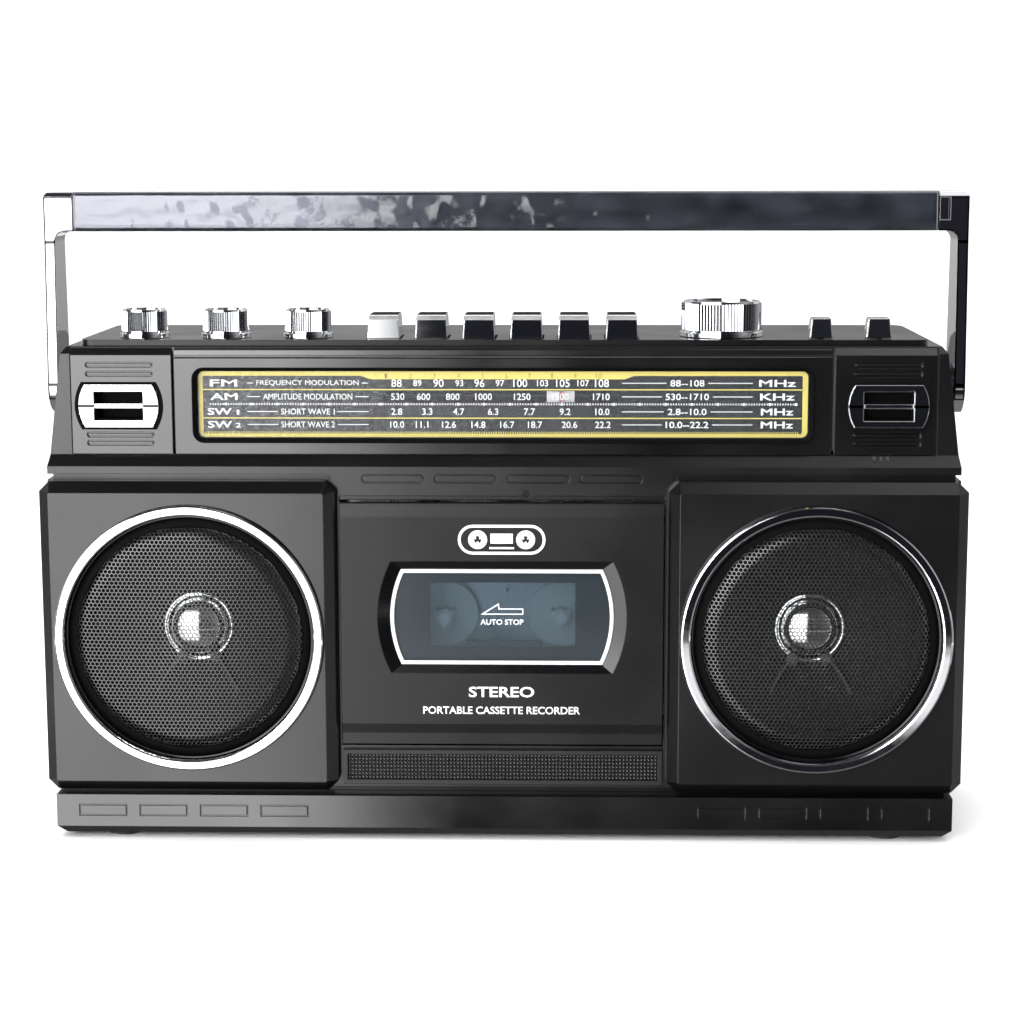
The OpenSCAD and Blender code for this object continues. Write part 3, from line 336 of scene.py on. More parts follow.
plastic("gloss_black", (0.003, 0.003, 0.0034), 0.12, grain=0.03, edge_highlight=0.2)
plastic("black_mesh", (0.010, 0.010, 0.011), 0.22, grain=0.03, edge_highlight=0.0, edge=0.0001, shine=1.0)
plastic("dial_black", (0.004, 0.004, 0.005), 0.25, grain=0.04, edge_highlight=0.1)
plastic("pale_plastic", (0.62, 0.60, 0.57), 0.4, grain=0.08, edge_highlight=0.1, spread=0.05)
plastic("pointer_plastic", (0.88, 0.85, 0.86), 0.4, grain=0.08, edge_highlight=0.1, spread=0.03)
plastic("black_rubber", (0.010, 0.010, 0.010), 0.7, grain=0.3, edge_highlight=0.1, grain_scale=1500.0)
plastic("mask_tint", (0.012, 0.016, 0.018), 0.3, grain=0.03, edge_highlight=0.0)
metal("bright_plating", CHROME, 0.03, wave=0.03, scratch=0.02)
metal("arm_plating", CHROME, 0.03, wave=0.03, scratch=0.02, edge=0.0008)
metal("cap_plating", (0.88, 0.89, 0.91), 0.05, wave=0.03, scratch=0.03, edge=0.0008)
metal("key_plating", CHROME, 0.03, wave=0.005, scratch=0.02, edge=0.0005)
metal("brushed_plating", (0.90, 0.90, 0.91), 0.5, wave=0.02, scratch=0.10)
metal("knob_plating", (0.72, 0.73, 0.75), 0.04, wave=0.01, scratch=0.01, edge=0.00004)
metal("bezel_plating", CHROME, 0.03, wave=0.03, scratch=0.02, edge=0.0006)
metal("brow_highlight_metal", (0.17, 0.17, 0.175), 0.5, wave=0.02, scratch=0.10)
# Dark metal for the bezels' joints, and for the painted shade along the arms' edges
metal("joint_and_edge_shade_plating", (0.03, 0.03, 0.032), 0.10, wave=0.03, scratch=0.03)
metal("wrapped_plating", (0.10, 0.10, 0.115), 0.10, wave=0.10, scratch=0.05)
metal("satin_plating", (0.80, 0.81, 0.83), 0.14, wave=0.05, scratch=0.08)
metal("pressed_steel", (0.50, 0.51, 0.52), 0.34, wave=0.02, scratch=0.08)
metal("turned_steel", (0.68, 0.69, 0.70), 0.16, wave=0.03, scratch=0.12)
metal("brass_metal", (0.80, 0.62, 0.30), 0.18, wave=0.04, scratch=0.10)
metal("silver_foil", (0.80, 0.81, 0.82), 0.10, wave=0.10, scratch=0.03)
pane("clear_plastic", (0.97, 0.975, 0.98), 0.26, (0.5, 0.52, 0.55), 0.004, gloss=1.5)
pane("film_sheet", (0.98, 0.98, 0.98), 0.3, (0.30, 0.33, 0.38), 0.03, gloss=0.05)
pane("smoked_plastic", (0.78, 0.83, 0.86), 0.06, (0.20, 0.24, 0.27), 0.05, gloss=1.25)
pane("window_glaze", (0.80, 0.83, 0.85), 0.22, (0.40, 0.44, 0.48), 0.07, gloss=1.2)
wrap("wrap_film")
paper("cone_paper", (0.010, 0.010, 0.011))
fibre("cord_fibre", (0.05, 0.048, 0.045))
fibre("tinsel_wire", (0.12, 0.115, 0.11))
laminate("board_laminate")
paint("white_ink", (0.92, 0.92, 0.92))
paint("grey_ink", (0.20, 0.20, 0.21))
paint("gold_ink", (0.80, 0.67, 0.15), 0.35)
paint("red_ink", (0.65, 0.03, 0.03))
paint("brown_ink", (0.30, 0.20, 0.03))

# The CAD nodes keep their meshes and take these finishes
FINISH = {
    "black_plastic": "front_cabinet rear_cabinet cassette_carrier battery_cover",
    "base_plastic": "base_tray",
    "top_plastic": "top_plate",
    "panel_plastic": "speaker_panels",
    "tuner_plastic": "dial_surround corner_blocks",
    "door_plastic": "door_panel",
    "dark_plastic": "vent_strip",
    "dial_black": "dial_scale",
    "clear_plastic": "dial_window",
    "smoked_plastic": "door_window",
    "pointer_plastic": "dial_pointer",
    "pale_plastic": "dial_drum supply_reel takeup_reel",
    "bright_plating": "speaker_rings antenna_base antenna_tubes",
    "bezel_plating": "corner_bezels",
    "key_plating": "record_key play_key rewind_key forward_key stop_key pause_key",
    "knob_plating": "volume_knob tone_knob balance_knob tuning_knob",
    "cap_plating": "function_switch_knob band_switch_knob",
    "wrapped_plating": "handle_bar",
    "arm_plating": "handle_arms",
    "pressed_steel": "speaker_drivers tuning_capacitor microphone deck_chassis drive_motor head_plate"
                     " pinch_roller_arm control_pots transformer",
    "turned_steel": "flywheel tape_heads key_shaft battery_contacts handle_pivots cabinet_screws",
    "brass_metal": "capstan_bush motor_pulley",
    "black_rubber": "drive_belt pinch_roller rubber_feet",
    "cone_paper": "speaker_cones",
    "cord_fibre": "dial_cord",
    "board_laminate": "main_board",
}
for finish, names in FINISH.items():
    for name in names.split():
        for slot in NODES[name].material_slots:
            slot.material = M[finish]


# ---- pieces --------------------------------------------------------------------------


def placed(name, data):
    """A new object in the scene."""
    obj = bpy.data.objects.new(name, data)
    bpy.context.scene.collection.objects.link(obj)
    return obj


def riding(name, mesh, material, body, smooth=False):
    """An object for a finished mesh, which moves with a body."""
    if smooth:
        mesh.shade_smooth()
    else:
        mesh.shade_flat()
    mesh.materials.append(M[material])
    obj = placed(name, mesh)
    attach(obj, body)
    return obj


class Shape:
    """Vertices, in millimetres in the row frame, and faces gathered for one piece."""

    def __init__(self):
        self.verts = []
        self.faces = []

    def add(self, verts, faces):
        base = len(self.verts)
        self.verts += [tuple(v) for v in verts]
        self.faces += [tuple(i + base for i in f) for f in faces]

    def prism(self, outline, y0, y1):
        """An outline in X and Z, pushed through from y0 to y1."""
        n = len(outline)
        verts = [(x, y0, z) for x, z in outline] + [(x, y1, z) for x, z in outline]
        faces = [tuple(range(n)), tuple(range(2 * n - 1, n - 1, -1))]
        faces += [(i, n + i, n + (i + 1) % n, (i + 1) % n) for i in range(n)]
        self.add(verts, faces)

    def bar(self, x0, z0, x1, z1, y0, y1):
        self.prism([(x0, z0), (x1, z0), (x1, z1), (x0, z1)], y0, y1)

    def block(self, back, front):
        """A closed block between two ends with four corners each."""
        sides = [(0, 1, 5, 4), (1, 2, 6, 5), (2, 3, 7, 6), (3, 0, 4, 7)]
        self.add(back + front, sides + [(4, 5, 6, 7), (3, 2, 1, 0)])

    def frame(self, outer, inner, y0, y1):
        """A closed band between two outlines with as many points each."""
        n = len(outer)
        rings = [[(x, y, z) for x, z in ring] for y in (y0, y1) for ring in (outer, inner)]
        faces = []
        for i in range(n):
            j = (i + 1) % n
            faces += [
                (i, j, n + j, n + i),
                (2 * n + i, 3 * n + i, 3 * n + j, 2 * n + j),
                (i, 2 * n + i, 2 * n + j, j),
                (n + i, n + j, 3 * n + j, 3 * n + i),
            ]
        self.add([v for ring in rings for v in ring], faces)

    def skin(self, rings, closed=False):
        """A skin over neighbouring rings with as many points each."""
        n, count = len(rings[0]), len(rings)
        pairs = [(r * n, (r + 1) % count * n) for r in range(count if closed else count - 1)]
        self.add(
            [v for ring in rings for v in ring],
            [(a + i, a + (i + 1) % n, b + (i + 1) % n, b + i) for a, b in pairs for i in range(n)],
        )

    def tube(self, points, radius, sides=8, closed=False):
        """A round tube along points."""
        points = [Vector(p) for p in points]
        n = len(points)
        rings = []
        previous = None
        for i, p in enumerate(points):
            ahead = points[(i + 1) % n] if closed or i < n - 1 else p
            behind = points[i - 1] if closed or i else p
            along = (ahead - behind).normalized()
            side = previous or Vector((0, 1, 0)).cross(along)
            if side.length < 1e-4:
                side = Vector((1, 0, 0))
            side = (side - along * side.dot(along)).normalized()
            previous = side
            up = along.cross(side)
            rings.append([p + side * u + up * w for u, w in circle(radius, sides)])
        first = len(self.verts)
        last = first + (n - 1) * sides
        self.skin(rings, closed)
        if not closed:
            self.faces += [tuple(range(first, first + sides))[::-1], tuple(range(last, last + sides))]

    def lathe(self, profile, centre, axis="y", steps=64):
        """A profile of (radius, height) turned round an axis through centre; height runs along +axis."""
        rings = []
        for r, h in profile:
            spots = [(u, h, w) if axis == "y" else (u, w, h) for u, w in circle(r, steps)]
            rings.append([tuple(c + s for c, s in zip(centre, spot)) for spot in spots])
        self.skin(rings)

    def made(self, name, material, body, slot, smooth=False):
        """The piece itself, with its faces turned outwards."""
        mesh = bpy.data.meshes.new(name)
        mesh.from_pydata([tuple(c * MM for c in v) for v in self.verts], [], self.faces)
        mesh.validate()
        bm = bmesh.new()
        bm.from_mesh(mesh)
        bmesh.ops.remove_doubles(bm, verts=bm.verts, dist=1e-7)
        bmesh.ops.recalc_face_normals(bm, faces=bm.faces)
        bm.to_mesh(mesh)
        bm.free()
        return riding(name, mesh, material, body, smooth)


def soften(obj, angle=40):
    """Smooth shading, with edges above this angle kept sharp."""
    obj.data.shade_smooth()
    bm = bmesh.new()
    bm.from_mesh(obj.data)
    for edge in bm.edges:
        sharp = len(edge.link_faces) != 2 or edge.calc_face_angle(0) > math.radians(angle)
        edge.smooth = not sharp
    bm.to_mesh(obj.data)
    bm.free()


# Outlines in X and Z about their own centres


def circle(radius, points=40):
    turns = [2 * math.pi * k / points for k in range(points)]
    return [(radius * math.cos(a), radius * math.sin(a)) for a in turns]


def cut_circle(radius, half_height, points=24):
    """A circle cut off flat above and below."""
    top = math.asin(half_height / radius)
    right = [(-top + 2 * top * i / points) for i in range(points + 1)]
    arc = [(radius * math.cos(a), radius * math.sin(a)) for a in right]
    return arc + [(-x, -z) for x, z in arc]


def rect(half_w, half_h):
    return [(-half_w, -half_h), (half_w, -half_h), (half_w, half_h), (-half_w, half_h)]


def round_rect(half_w, half_h, radius, points=6):
    outline = []
    for sx, sz, start in ((1, -1, -90), (1, 1, 0), (-1, 1, 90), (-1, -1, 180)):
        for i in range(points + 1):
            a = math.radians(start + 90 * i / points)
            outline.append((
                sx * (half_w - radius) + radius * math.cos(a),
                sz * (half_h - radius) + radius * math.sin(a),
            ))
    return outline


def shifted(outline, x, z):
    return [(a + x, b + z) for a, b in outline]


def between(outer, inner, steps, z):
    """Rings from an outer to an inner outline, round height z; a step is a share of the way and a depth."""
    return [
        [(ox + (ix - ox) * share, y, oz + (iz - oz) * share + z) for (ox, oz), (ix, iz) in zip(outer, inner)]
        for share, y in steps
    ]


def lettering(text, size, bold=0.0):
    """Flat faces of a line of characters, centred on 0: (x, z) points, faces, width and height."""
    curve = bpy.data.curves.new("line", "FONT")
    curve.body = text
    curve.size = size
    curve.offset = bold
    curve.align_x = "CENTER"
    curve.resolution_u = 3
    carrier = placed("line", curve)
    bpy.context.view_layer.update()
    graph = bpy.context.evaluated_depsgraph_get()
    mesh = bpy.data.meshes.new_from_object(carrier.evaluated_get(graph))
    points = [(v.co.x, v.co.y) for v in mesh.vertices]
    faces = [tuple(p.vertices) for p in mesh.polygons]
    bpy.data.objects.remove(carrier)
    bpy.data.curves.remove(curve)
    bpy.data.meshes.remove(mesh)
    low_x, high_x = min(p[0] for p in points), max(p[0] for p in points)
    low_z, high_z = min(p[1] for p in points), max(p[1] for p in points)
    middle = ((low_x + high_x) / 2, (low_z + high_z) / 2)
    return [(x - middle[0], z - middle[1]) for x, z in points], faces, high_x - low_x, high_z - low_z


def print_text(shape, text, x, z, height, y, width=None, bold=0.0, depth=0.02):
    """Adds characters standing proud of the face at depth y, with this height and, if given, this width."""
    points, faces, wide, tall = lettering(text, 10.0, bold)
    sz = height / tall
    sx = width / wide if width else sz
    shape.add([(px * sx + x, y - depth, pz * sz + z) for px, pz in points], faces)


# ---- speakers ------------------------------------------------------------------------

ring_low, ring_high = span("speaker_rings")
SPEAKER_X = ring_high.x - (ring_high.z - ring_low.z) / 2
SPEAKER_Z = (ring_low.z + ring_high.z) / 2
GRILLE_R = 40.6
HOLE_PITCH = 1.56
WEB = 0.30
SHEET = 0.4


def dome(r):
    """Depth of the grille's face, in front of y = 0, at radius r."""
    if r <= 35:
        return 49.4 - (r / 35) ** 2
    if r <= 41:
        t = (r - 35) / 6
        return 48.4 - 0.34 * t - 2.06 * t ** 2.5
    return 46.0


def perforated_grille(name, centre_x):
    """A pressed sheet with hexagonal holes all over."""
    corner = HOLE_PITCH / math.sqrt(3)
    hole = corner - WEB / math.sqrt(3)
    turns = [math.radians(60 * k + 30) for k in range(6)]
    bm = bmesh.new()
    known = {}

    def vert(x, z, limit):
        r = math.hypot(x, z)
        if r > limit:
            x, z = x * limit / r, z * limit / r
        key = (round(x, 3), round(z, 3))
        if key not in known:
            known[key] = bm.verts.new(mm(key[0] + centre_x, -dome(min(r, limit)), key[1] + SPEAKER_Z))
        return known[key]

    def corners(x, z, radius, limit):
        return [vert(x + radius * math.cos(a), z + radius * math.sin(a), limit) for a in turns]

    row_pitch = HOLE_PITCH * math.sqrt(3) / 2
    rows = int(GRILLE_R / row_pitch) + 2
    for row in range(-rows, rows + 1):
        cz = row * row_pitch
        for column in range(-rows, rows + 1):
            cx = (column + (row % 2) / 2) * HOLE_PITCH
            if math.hypot(cx, cz) > GRILLE_R - 0.1:
                continue
            outer = corners(cx, cz, corner, GRILLE_R)
            inner = corners(cx, cz, hole, GRILLE_R - 0.22)
            for k in range(6):
                loop = []
                for v in (outer[k], outer[(k + 1) % 6], inner[(k + 1) % 6], inner[k]):
                    if v not in loop:
                        loop.append(v)
                if len(loop) > 2 and not bm.faces.get(loop):
                    bm.faces.new(loop)
    bmesh.ops.recalc_face_normals(bm, faces=bm.faces)
    bmesh.ops.solidify(bm, geom=bm.faces[:], thickness=SHEET * MM)
    mesh = bpy.data.meshes.new(name)
    bm.to_mesh(mesh)
    bm.free()
    return riding(name, mesh, "black_mesh", "cabinet")


grilles = [perforated_grille("grille_right", SPEAKER_X), perforated_grille("grille_left", -SPEAKER_X)]
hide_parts("speaker_grilles")

# Plain flange of a grille, outside its holes, and the rolled rim inside the bright ring, which holds it
FLANGE = [(40.35, 0.05 - dome(40.35)), (40.6, -dome(40.6)), (40.9, -dome(40.9)), (41.4, -46.0), (44.6, -46.0),
          (44.6, -45.6), (41.3, -45.6), (40.35, SHEET - dome(40.35))]
RIM = [(44.85, -45.65), (44.85, -46.9), (44.55, -47.25), (44.1, -47.25), (43.8, -46.9), (43.8, -46.45)]
# Pressed dust cap over the middle of the cone
CAP_R, CAP_Y, CAP_RISE = 10.1, -26.6, 5.2
CAP = [(10.9, -24.2), (10.7, -26.0), (CAP_R, CAP_Y)]
CAP += [(CAP_R * math.cos(t), CAP_Y - CAP_RISE * math.sin(t)) for t in map(math.radians, range(8, 89, 8))]
CAP += [(0.02, CAP_Y - CAP_RISE)]
BLOB = [(0.01, -28.6), (1.6, -28.2), (2.3, -27.2), (2.4, -26.2)]

for side, label in ((1, "right"), (-1, "left")):
    cx = side * SPEAKER_X
    centre = (cx, 0, SPEAKER_Z)
    for name, profile, steps, material, slot in (
        ("grille_flange_", FLANGE, 128, "line_black", "black_mesh"),
        ("grille_rim_", RIM, 128, "gloss_black", "black_mesh"),
        ("dust_cap_", CAP, 48, "silver_foil", "cone_paper"),
    ):
        turned = Shape()
        turned.lathe(profile, centre, steps=steps)
        turned.made(name + label, material, "cabinet", slot, smooth=True)
    # Uneven bead of glue round the cap
    glue = Shape()
    bead = [
        (cx + x, -25.4 - 0.2 * math.sin(5 * math.atan2(z, x)), SPEAKER_Z + z) for x, z in circle(12.3, 48)
    ]
    glue.tube(bead, 1.0, closed=True)
    glue.made("cap_glue_" + label, "silver_foil", "cabinet", "cone_paper", smooth=True)
    # Two braided leads from the cap's edge down to the basket, each with a blob of solder on the cone
    leads = Shape()
    for s in (-1, 1):
        bends = [Vector((cx + s * 6, -26.8, SPEAKER_Z - 10.5)), Vector((cx + s * 13, -33.5, SPEAKER_Z - 17)),
                 Vector((cx + s * 17, -30.5, SPEAKER_Z - 27)), Vector((cx + s * 19, -36.0, SPEAKER_Z - 37))]
        leads.tube(interpolate_bezier(*bends, 17), 0.55)
        leads.lathe(BLOB, (cx + s * 6.2, 0, SPEAKER_Z - 11.5), steps=16)
    leads.made("speaker_leads_" + label, "tinsel_wire", "cabinet", "cone_paper", smooth=True)


# ---- dial ----------------------------------------------------------------------------

scale_low, scale_high = span("dial_scale")
SCALE_Y = scale_low.y
FILM_Y = SCALE_Y - 0.12
DIAL_X = 109.5
GOLD_Z = (146.75, 170.65)
ROWS = {"FM": 166.3, "AM": 161.4, "SW1": 156.0, "SW2": 151.3}
LINES_Z = (163.95, 158.7, 153.65)

film = Shape()
film.bar(-DIAL_X - 0.4, scale_low.z + 0.2, DIAL_X + 0.4, scale_high.z - 0.2, FILM_Y, SCALE_Y - 0.01)
film.made("dial_film", "film_sheet", "cabinet", "clear_plastic")

INK = 0.03
gold = Shape()
middle = (GOLD_Z[0] + GOLD_Z[1]) / 2
half = (GOLD_Z[1] - GOLD_Z[0]) / 2
LEFT_T, RIGHT_T, TOP_T, BOTTOM_T = 1.5, 1.9, 1.7, 1.2
gold.frame(
    shifted(round_rect(DIAL_X, half, 2.2), 0, middle),
    shifted(round_rect(DIAL_X - (LEFT_T + RIGHT_T) / 2, half - (TOP_T + BOTTOM_T) / 2, 0.7),
            (LEFT_T - RIGHT_T) / 2, middle + (BOTTOM_T - TOP_T) / 2),
    FILM_Y - INK, FILM_Y,
)
# Thicker band along the top between slanted ends
band_z = GOLD_Z[1] - TOP_T
band_low = band_z - 1.25
gold.prism([(-47.2, band_low), (43.9, band_low), (47.3, band_z), (-51.0, band_z)], FILM_Y - INK, FILM_Y)
for z in (LINES_Z[0], LINES_Z[2]):
    gold.bar(-DIAL_X + 1.2, z - 0.19, DIAL_X - 1.2, z + 0.19, FILM_Y - INK, FILM_Y)
comb = int((2 * DIAL_X - 4.6) / 0.86)
for i in range(comb):
    x = -DIAL_X + 2.4 + i * 0.86
    gold.bar(x - 0.17, GOLD_Z[0] + 1.1, x + 0.17, GOLD_Z[0] + 2.0, FILM_Y - INK, FILM_Y)
gold.made("dial_gold_print", "gold_ink", "cabinet", "dial_black")

tiny = Shape()
for i, x in enumerate([-41.8, -33.0, -24.4, -15.7, -7.0, 1.6, 9.8, 17.9, 26.2, 34.6]):
    print_text(tiny, str(i + 1), x, band_z - 0.05, 1.75, FILM_Y - INK, width=0.9 if i < 9 else 2.2)
tiny.made("dial_small_numbers", "brown_ink", "cabinet", "dial_black")

white = Shape()
# Tick ruler with a dot at each tenth tick
tick = 0.932
for i in range(-113, 114):
    x = i * tick
    if i % 10 == 3:
        white.prism(shifted(circle(0.55, 8), x, LINES_Z[1]), FILM_Y - INK, FILM_Y)
    else:
        white.bar(x - 0.18, LINES_Z[1] - 0.33, x + 0.18, LINES_Z[1] + 0.33, FILM_Y - INK, FILM_Y)


def row(key, numbers, size=2.4):
    for text, x in numbers:
        print_text(white, text, x, ROWS[key], size, FILM_Y, bold=0.07)


def dash(key, x0, x1):
    if x1 - x0 > 0.5:
        white.bar(x0, ROWS[key] - 0.14, x1, ROWS[key] + 0.14, FILM_Y - INK, FILM_Y)


row("FM", [("88", -38.0), ("90", -22.9), ("96", -8.2), ("100", 6.5), ("105", 21.8), ("108", 35.8)], 2.8)
row("FM", [("89", -30.5), ("93", -15.4), ("97", -0.8), ("103", 14.5), ("107", 29.1)], 2.3)
row("AM", [("530", -37.6), ("600", -28.3), ("800", -17.8), ("1000", -6.7), ("1250", 7.2), ("1500", 20.9),
           ("1710", 35.6)])
row("SW1", [("2.8", -38.0), ("3.3", -27.0), ("4.7", -15.7), ("6.3", -3.3), ("7.7", 9.8), ("9.2", 22.6),
            ("10.0", 36.0)])
row("SW2", [("10.0", -37.9), ("11.1", -28.9), ("12.6", -19.2), ("14.8", -8.6), ("16.7", 1.8), ("18.7", 11.8),
            ("20.6", 24.2), ("22.2", 36.2)])
# Band: letters at the left, its name, its range and its unit, with dashes between
BANDS = {
    "FM": ("FM", "", "FREQUENCY MODULATION", 36.9, "88--108", 12.2, "MHz", 13.2),
    "AM": ("AM", "", "AMPLITUDE MODULATION", 32.2, "530--1710", 15.5, "KHz", 12.3),
    "SW1": ("SW", "1", "SHORT WAVE 1", 19.4, "2.8--10.0", 13.9, "MHz", 11.6),
    "SW2": ("SW", "2", "SHORT WAVE 2", 19.4, "10.0--22.2", 15.3, "MHz", 11.6),
}
NAME_X, REACH_X, UNIT_X = -70.1, 66.4, 98.6
for key, (letters, index, name, name_w, reach, reach_w, unit, unit_w) in BANDS.items():
    z = ROWS[key]
    if index:
        print_text(white, letters, -102.0, z, 2.5, FILM_Y, width=8.8, bold=0.16)
        print_text(white, index, -95.4, z - 0.3, 1.75, FILM_Y, width=1.9 if index == "2" else 0.9, bold=0.2)
    else:
        print_text(white, letters, -100.4, z, 2.5, FILM_Y, width=9.9, bold=0.16)
    print_text(white, name, NAME_X, z, 2.15, FILM_Y, width=name_w, bold=0.01)
    print_text(white, reach, REACH_X, z, 2.35, FILM_Y, width=reach_w, bold=0.1)
    print_text(white, unit, UNIT_X, z, 2.45, FILM_Y, width=unit_w, bold=0.14)
    dash(key, -92.0, NAME_X - name_w / 2 - 1.1)
    dash(key, NAME_X + name_w / 2 + 1.1, -48.2)
    dash(key, 43.0, REACH_X - reach_w / 2 - 1.4)
    dash(key, REACH_X + reach_w / 2 + 1.4, 89.8)
white.made("dial_white_print", "white_ink", "cabinet", "dial_black")

# Dark trim round the dial, sloping in to the glass
plate_low, plate_high = span("dial_surround")
gasket = Shape()
rings = []
for grow, rise in ((2.0, 0.1), (1.75, 0.9), (1.5, 0.95), (0.0, -0.45)):
    ring = round_rect(DIAL_X + 0.1 + grow, half + 0.1 + grow * 0.8, 2.2 + grow)
    rings.append([(x, plate_low.y - rise, z) for x, z in shifted(ring, 0, middle - grow * 0.12)])
gasket.skin(rings)
soften(gasket.made("dial_gasket", "line_black", "cabinet", "dial_black"), 30)

# Brow over the dial: a steep strip from the face up to the top edge
brow = Shape()
brow_w = plate_high.x - 0.05
profile = [(plate_low.y - 0.03, plate_high.z - 3.3), (plate_low.y + 0.45, plate_high.z - 0.75),
           (plate_low.y + 0.9, plate_high.z - 0.35), (plate_high.y, plate_high.z - 0.02),
           (plate_high.y, plate_high.z - 3.3)]
brow.add(
    [(x, y, z) for x in (-brow_w, brow_w) for y, z in profile],
    [(0, 1, 2, 3, 4), (9, 8, 7, 6, 5)] + [(i, 5 + i, 5 + (i + 1) % 5, (i + 1) % 5) for i in range(5)],
)
brow.made("dial_brow", "tuner_plastic", "cabinet", "dark_plastic")
# Painted shadow: a dark strip under the brow's lower edge
shade = Shape()
shade.bar(-brow_w, plate_high.z - 3.75, brow_w, plate_high.z - 3.3, plate_low.y - 0.02, plate_low.y + 0.3)
shade.made("dial_brow_shadow_line", "line_black", "cabinet", "dark_plastic")
# Painted highlight: a thin pale metal strip along the brow's lower edge stands in for the bright line there
edge_highlight = Shape()
edge_highlight.bar(-brow_w, plate_high.z - 3.32, brow_w, plate_high.z - 3.08, plate_low.y - 0.06, plate_low.y + 0.1)
edge_highlight.made("dial_brow_highlight", "brow_highlight_metal", "cabinet", "dark_plastic")

pointer_low, pointer_high = span("dial_pointer")
POINTER_X = (pointer_low.x + pointer_high.x) / 2
needle = Shape()
needle.bar(POINTER_X - 0.45, 159.8, POINTER_X + 0.45, 163.0, pointer_low.y - 0.06, pointer_low.y)
needle.made("pointer_line", "red_ink", "pointer", "pale_plastic")


# ---- cassette door -------------------------------------------------------------------

door_low, door_high = span("door_panel")
pane_low, pane_high = span("door_window")
WINDOW_Z = (pane_low.z + pane_high.z) / 2
PANE_Y = pane_low.y
DOOR_Y = door_low.y

trim = Shape()
profile = [(share, PANE_Y - rise) for share, rise in ((0, 0), (0.15, 0.45), (0.5, 0.6), (0.9, 0.45), (1, 0))]
trim.skin(between(cut_circle(40.3, 17.5), cut_circle(38.9, 16.1), profile, WINDOW_Z))
soften(trim.made("window_trim", "white_ink", "door", "pale_plastic"))

# Sloping walls of the recess round the window
well = Shape()
profile = [(0, DOOR_Y - 0.06), (0.04, DOOR_Y - 0.06), (1, PANE_Y - 0.04)]
well.skin(between(cut_circle(45.0, 20.6), cut_circle(40.5, 17.7), profile, WINDOW_Z))
well.made("window_well", "gloss_black", "door", "black_plastic")

# Mask behind the window, with a clear rectangle, and a glaze over the rectangle
mask = Shape()
CLEAR = (-26.1, 71.4, 26.4, 95.0)
steps = 24
outline = shifted(cut_circle(40.6, 17.7, steps), 0, WINDOW_Z)
left, bottom, right, top = CLEAR


def along(a, b, count):
    return [(a[0] + (b[0] - a[0]) * i / count, a[1] + (b[1] - a[1]) * i / count) for i in range(count + 1)]


hole = along((right, bottom), (right, top), steps) + along((left, top), (left, bottom), steps)
mask.frame(outline, hole, door_high.y + 0.12, door_high.y + 0.3)
mask.made("window_mask", "mask_tint", "door", "dial_black")
glaze = Shape()
glaze.bar(*CLEAR, door_high.y + 0.15, door_high.y + 0.25)
glaze.made("window_glaze", "window_glaze", "door", "clear_plastic")

# Painted shadow: a dark strip filling the gap behind the door's top edge
gap_shadow = Shape()
gap_shadow.bar(-57.4, 123.0, 57.4, 124.0, door_low.y + 2.95, -39.05)
gap_shadow.made("door_gap_shadow", "line_black", "door", "black_plastic")

sign = Shape()
ARROW_Z = WINDOW_Z + 2.2
arrow = [(-7.7, -1.3), (7.7, -1.3), (7.7, 0.95), (-0.9, 0.95), (-1.1, 2.9)]
thin = [(-6.4, -0.95), (7.35, -0.95), (7.35, 0.6), (-1.25, 0.6), (-1.4, 2.15)]
sign.frame(shifted(arrow, 0, ARROW_Z), shifted(thin, 0, ARROW_Z), PANE_Y - INK, PANE_Y)
print_text(sign, "AUTO STOP", 0, WINDOW_Z - 1.85, 2.0, PANE_Y, width=15.5, bold=0.16)
sign.made("window_print", "white_ink", "door", "pale_plastic")

emblem = Shape()
EMBLEM_Z = 111.2
RAISED = 0.05
emblem.frame(
    shifted(round_rect(15.7, 5.4, 5.3), 0, EMBLEM_Z), shifted(round_rect(14.7, 4.4, 4.3), 0, EMBLEM_Z),
    DOOR_Y - RAISED, DOOR_Y,
)
for x in (-8.6, 8.6):
    outer, inner = shifted(circle(3.4), x, EMBLEM_Z), shifted(circle(1.35), x, EMBLEM_Z)
    emblem.frame(outer, inner, DOOR_Y - RAISED, DOOR_Y)
    for turn in (30, 150, 270):
        tooth = []
        for r, w in ((1.4, -0.28), (1.4, 0.28), (0.75, 0.4), (0.75, -0.4)):
            a = math.radians(turn) + w
            tooth.append((r * math.cos(a), r * math.sin(a)))
        emblem.prism(shifted(tooth, x, EMBLEM_Z), DOOR_Y - RAISED, DOOR_Y)
emblem.bar(-4.4, EMBLEM_Z - 3.4, 4.4, EMBLEM_Z - 2.7, DOOR_Y - RAISED, DOOR_Y)
emblem.bar(-4.0, EMBLEM_Z - 1.4, 4.0, EMBLEM_Z + 2.2, DOOR_Y - RAISED, DOOR_Y)
print_text(emblem, "STEREO", -0.2, 55.3, 3.9, DOOR_Y, width=23.7, bold=0.2, depth=RAISED)
print_text(emblem, "PORTABLE CASSETTE RECORDER", -0.2, 48.5, 2.8, DOOR_Y, width=56.8, bold=0.15, depth=RAISED)
emblem.made("door_print", "white_ink", "door", "pale_plastic")


# ---- vent strip ----------------------------------------------------------------------

strip_low, strip_high = span("vent_strip")
studs = Shape()
FIELD_INSET = 1.6
STUD_H = 0.28
columns, lines = 88, 7
field_w = strip_high.x - strip_low.x - 2 * FIELD_INSET
field_h = strip_high.z - strip_low.z - 2 * FIELD_INSET
floor_y = strip_high.y - 1.2
dx, dz = field_w / columns, field_h / lines
for i in range(columns):
    for j in range(lines):
        x = strip_low.x + FIELD_INSET + (i + 0.5) * dx
        z = strip_low.z + FIELD_INSET + (j + 0.5) * dz
        foot = shifted(rect(dx * 0.46, dz * 0.46), x, z)
        tip = shifted(rect(0.12, 0.12), x, z)
        studs.block([(a, floor_y, b) for a, b in foot], [(a, floor_y - STUD_H, b) for a, b in tip])
studs.made("vent_studs", "stud_plastic", "cabinet", "dark_plastic")


# ---- keys and knobs ------------------------------------------------------------------

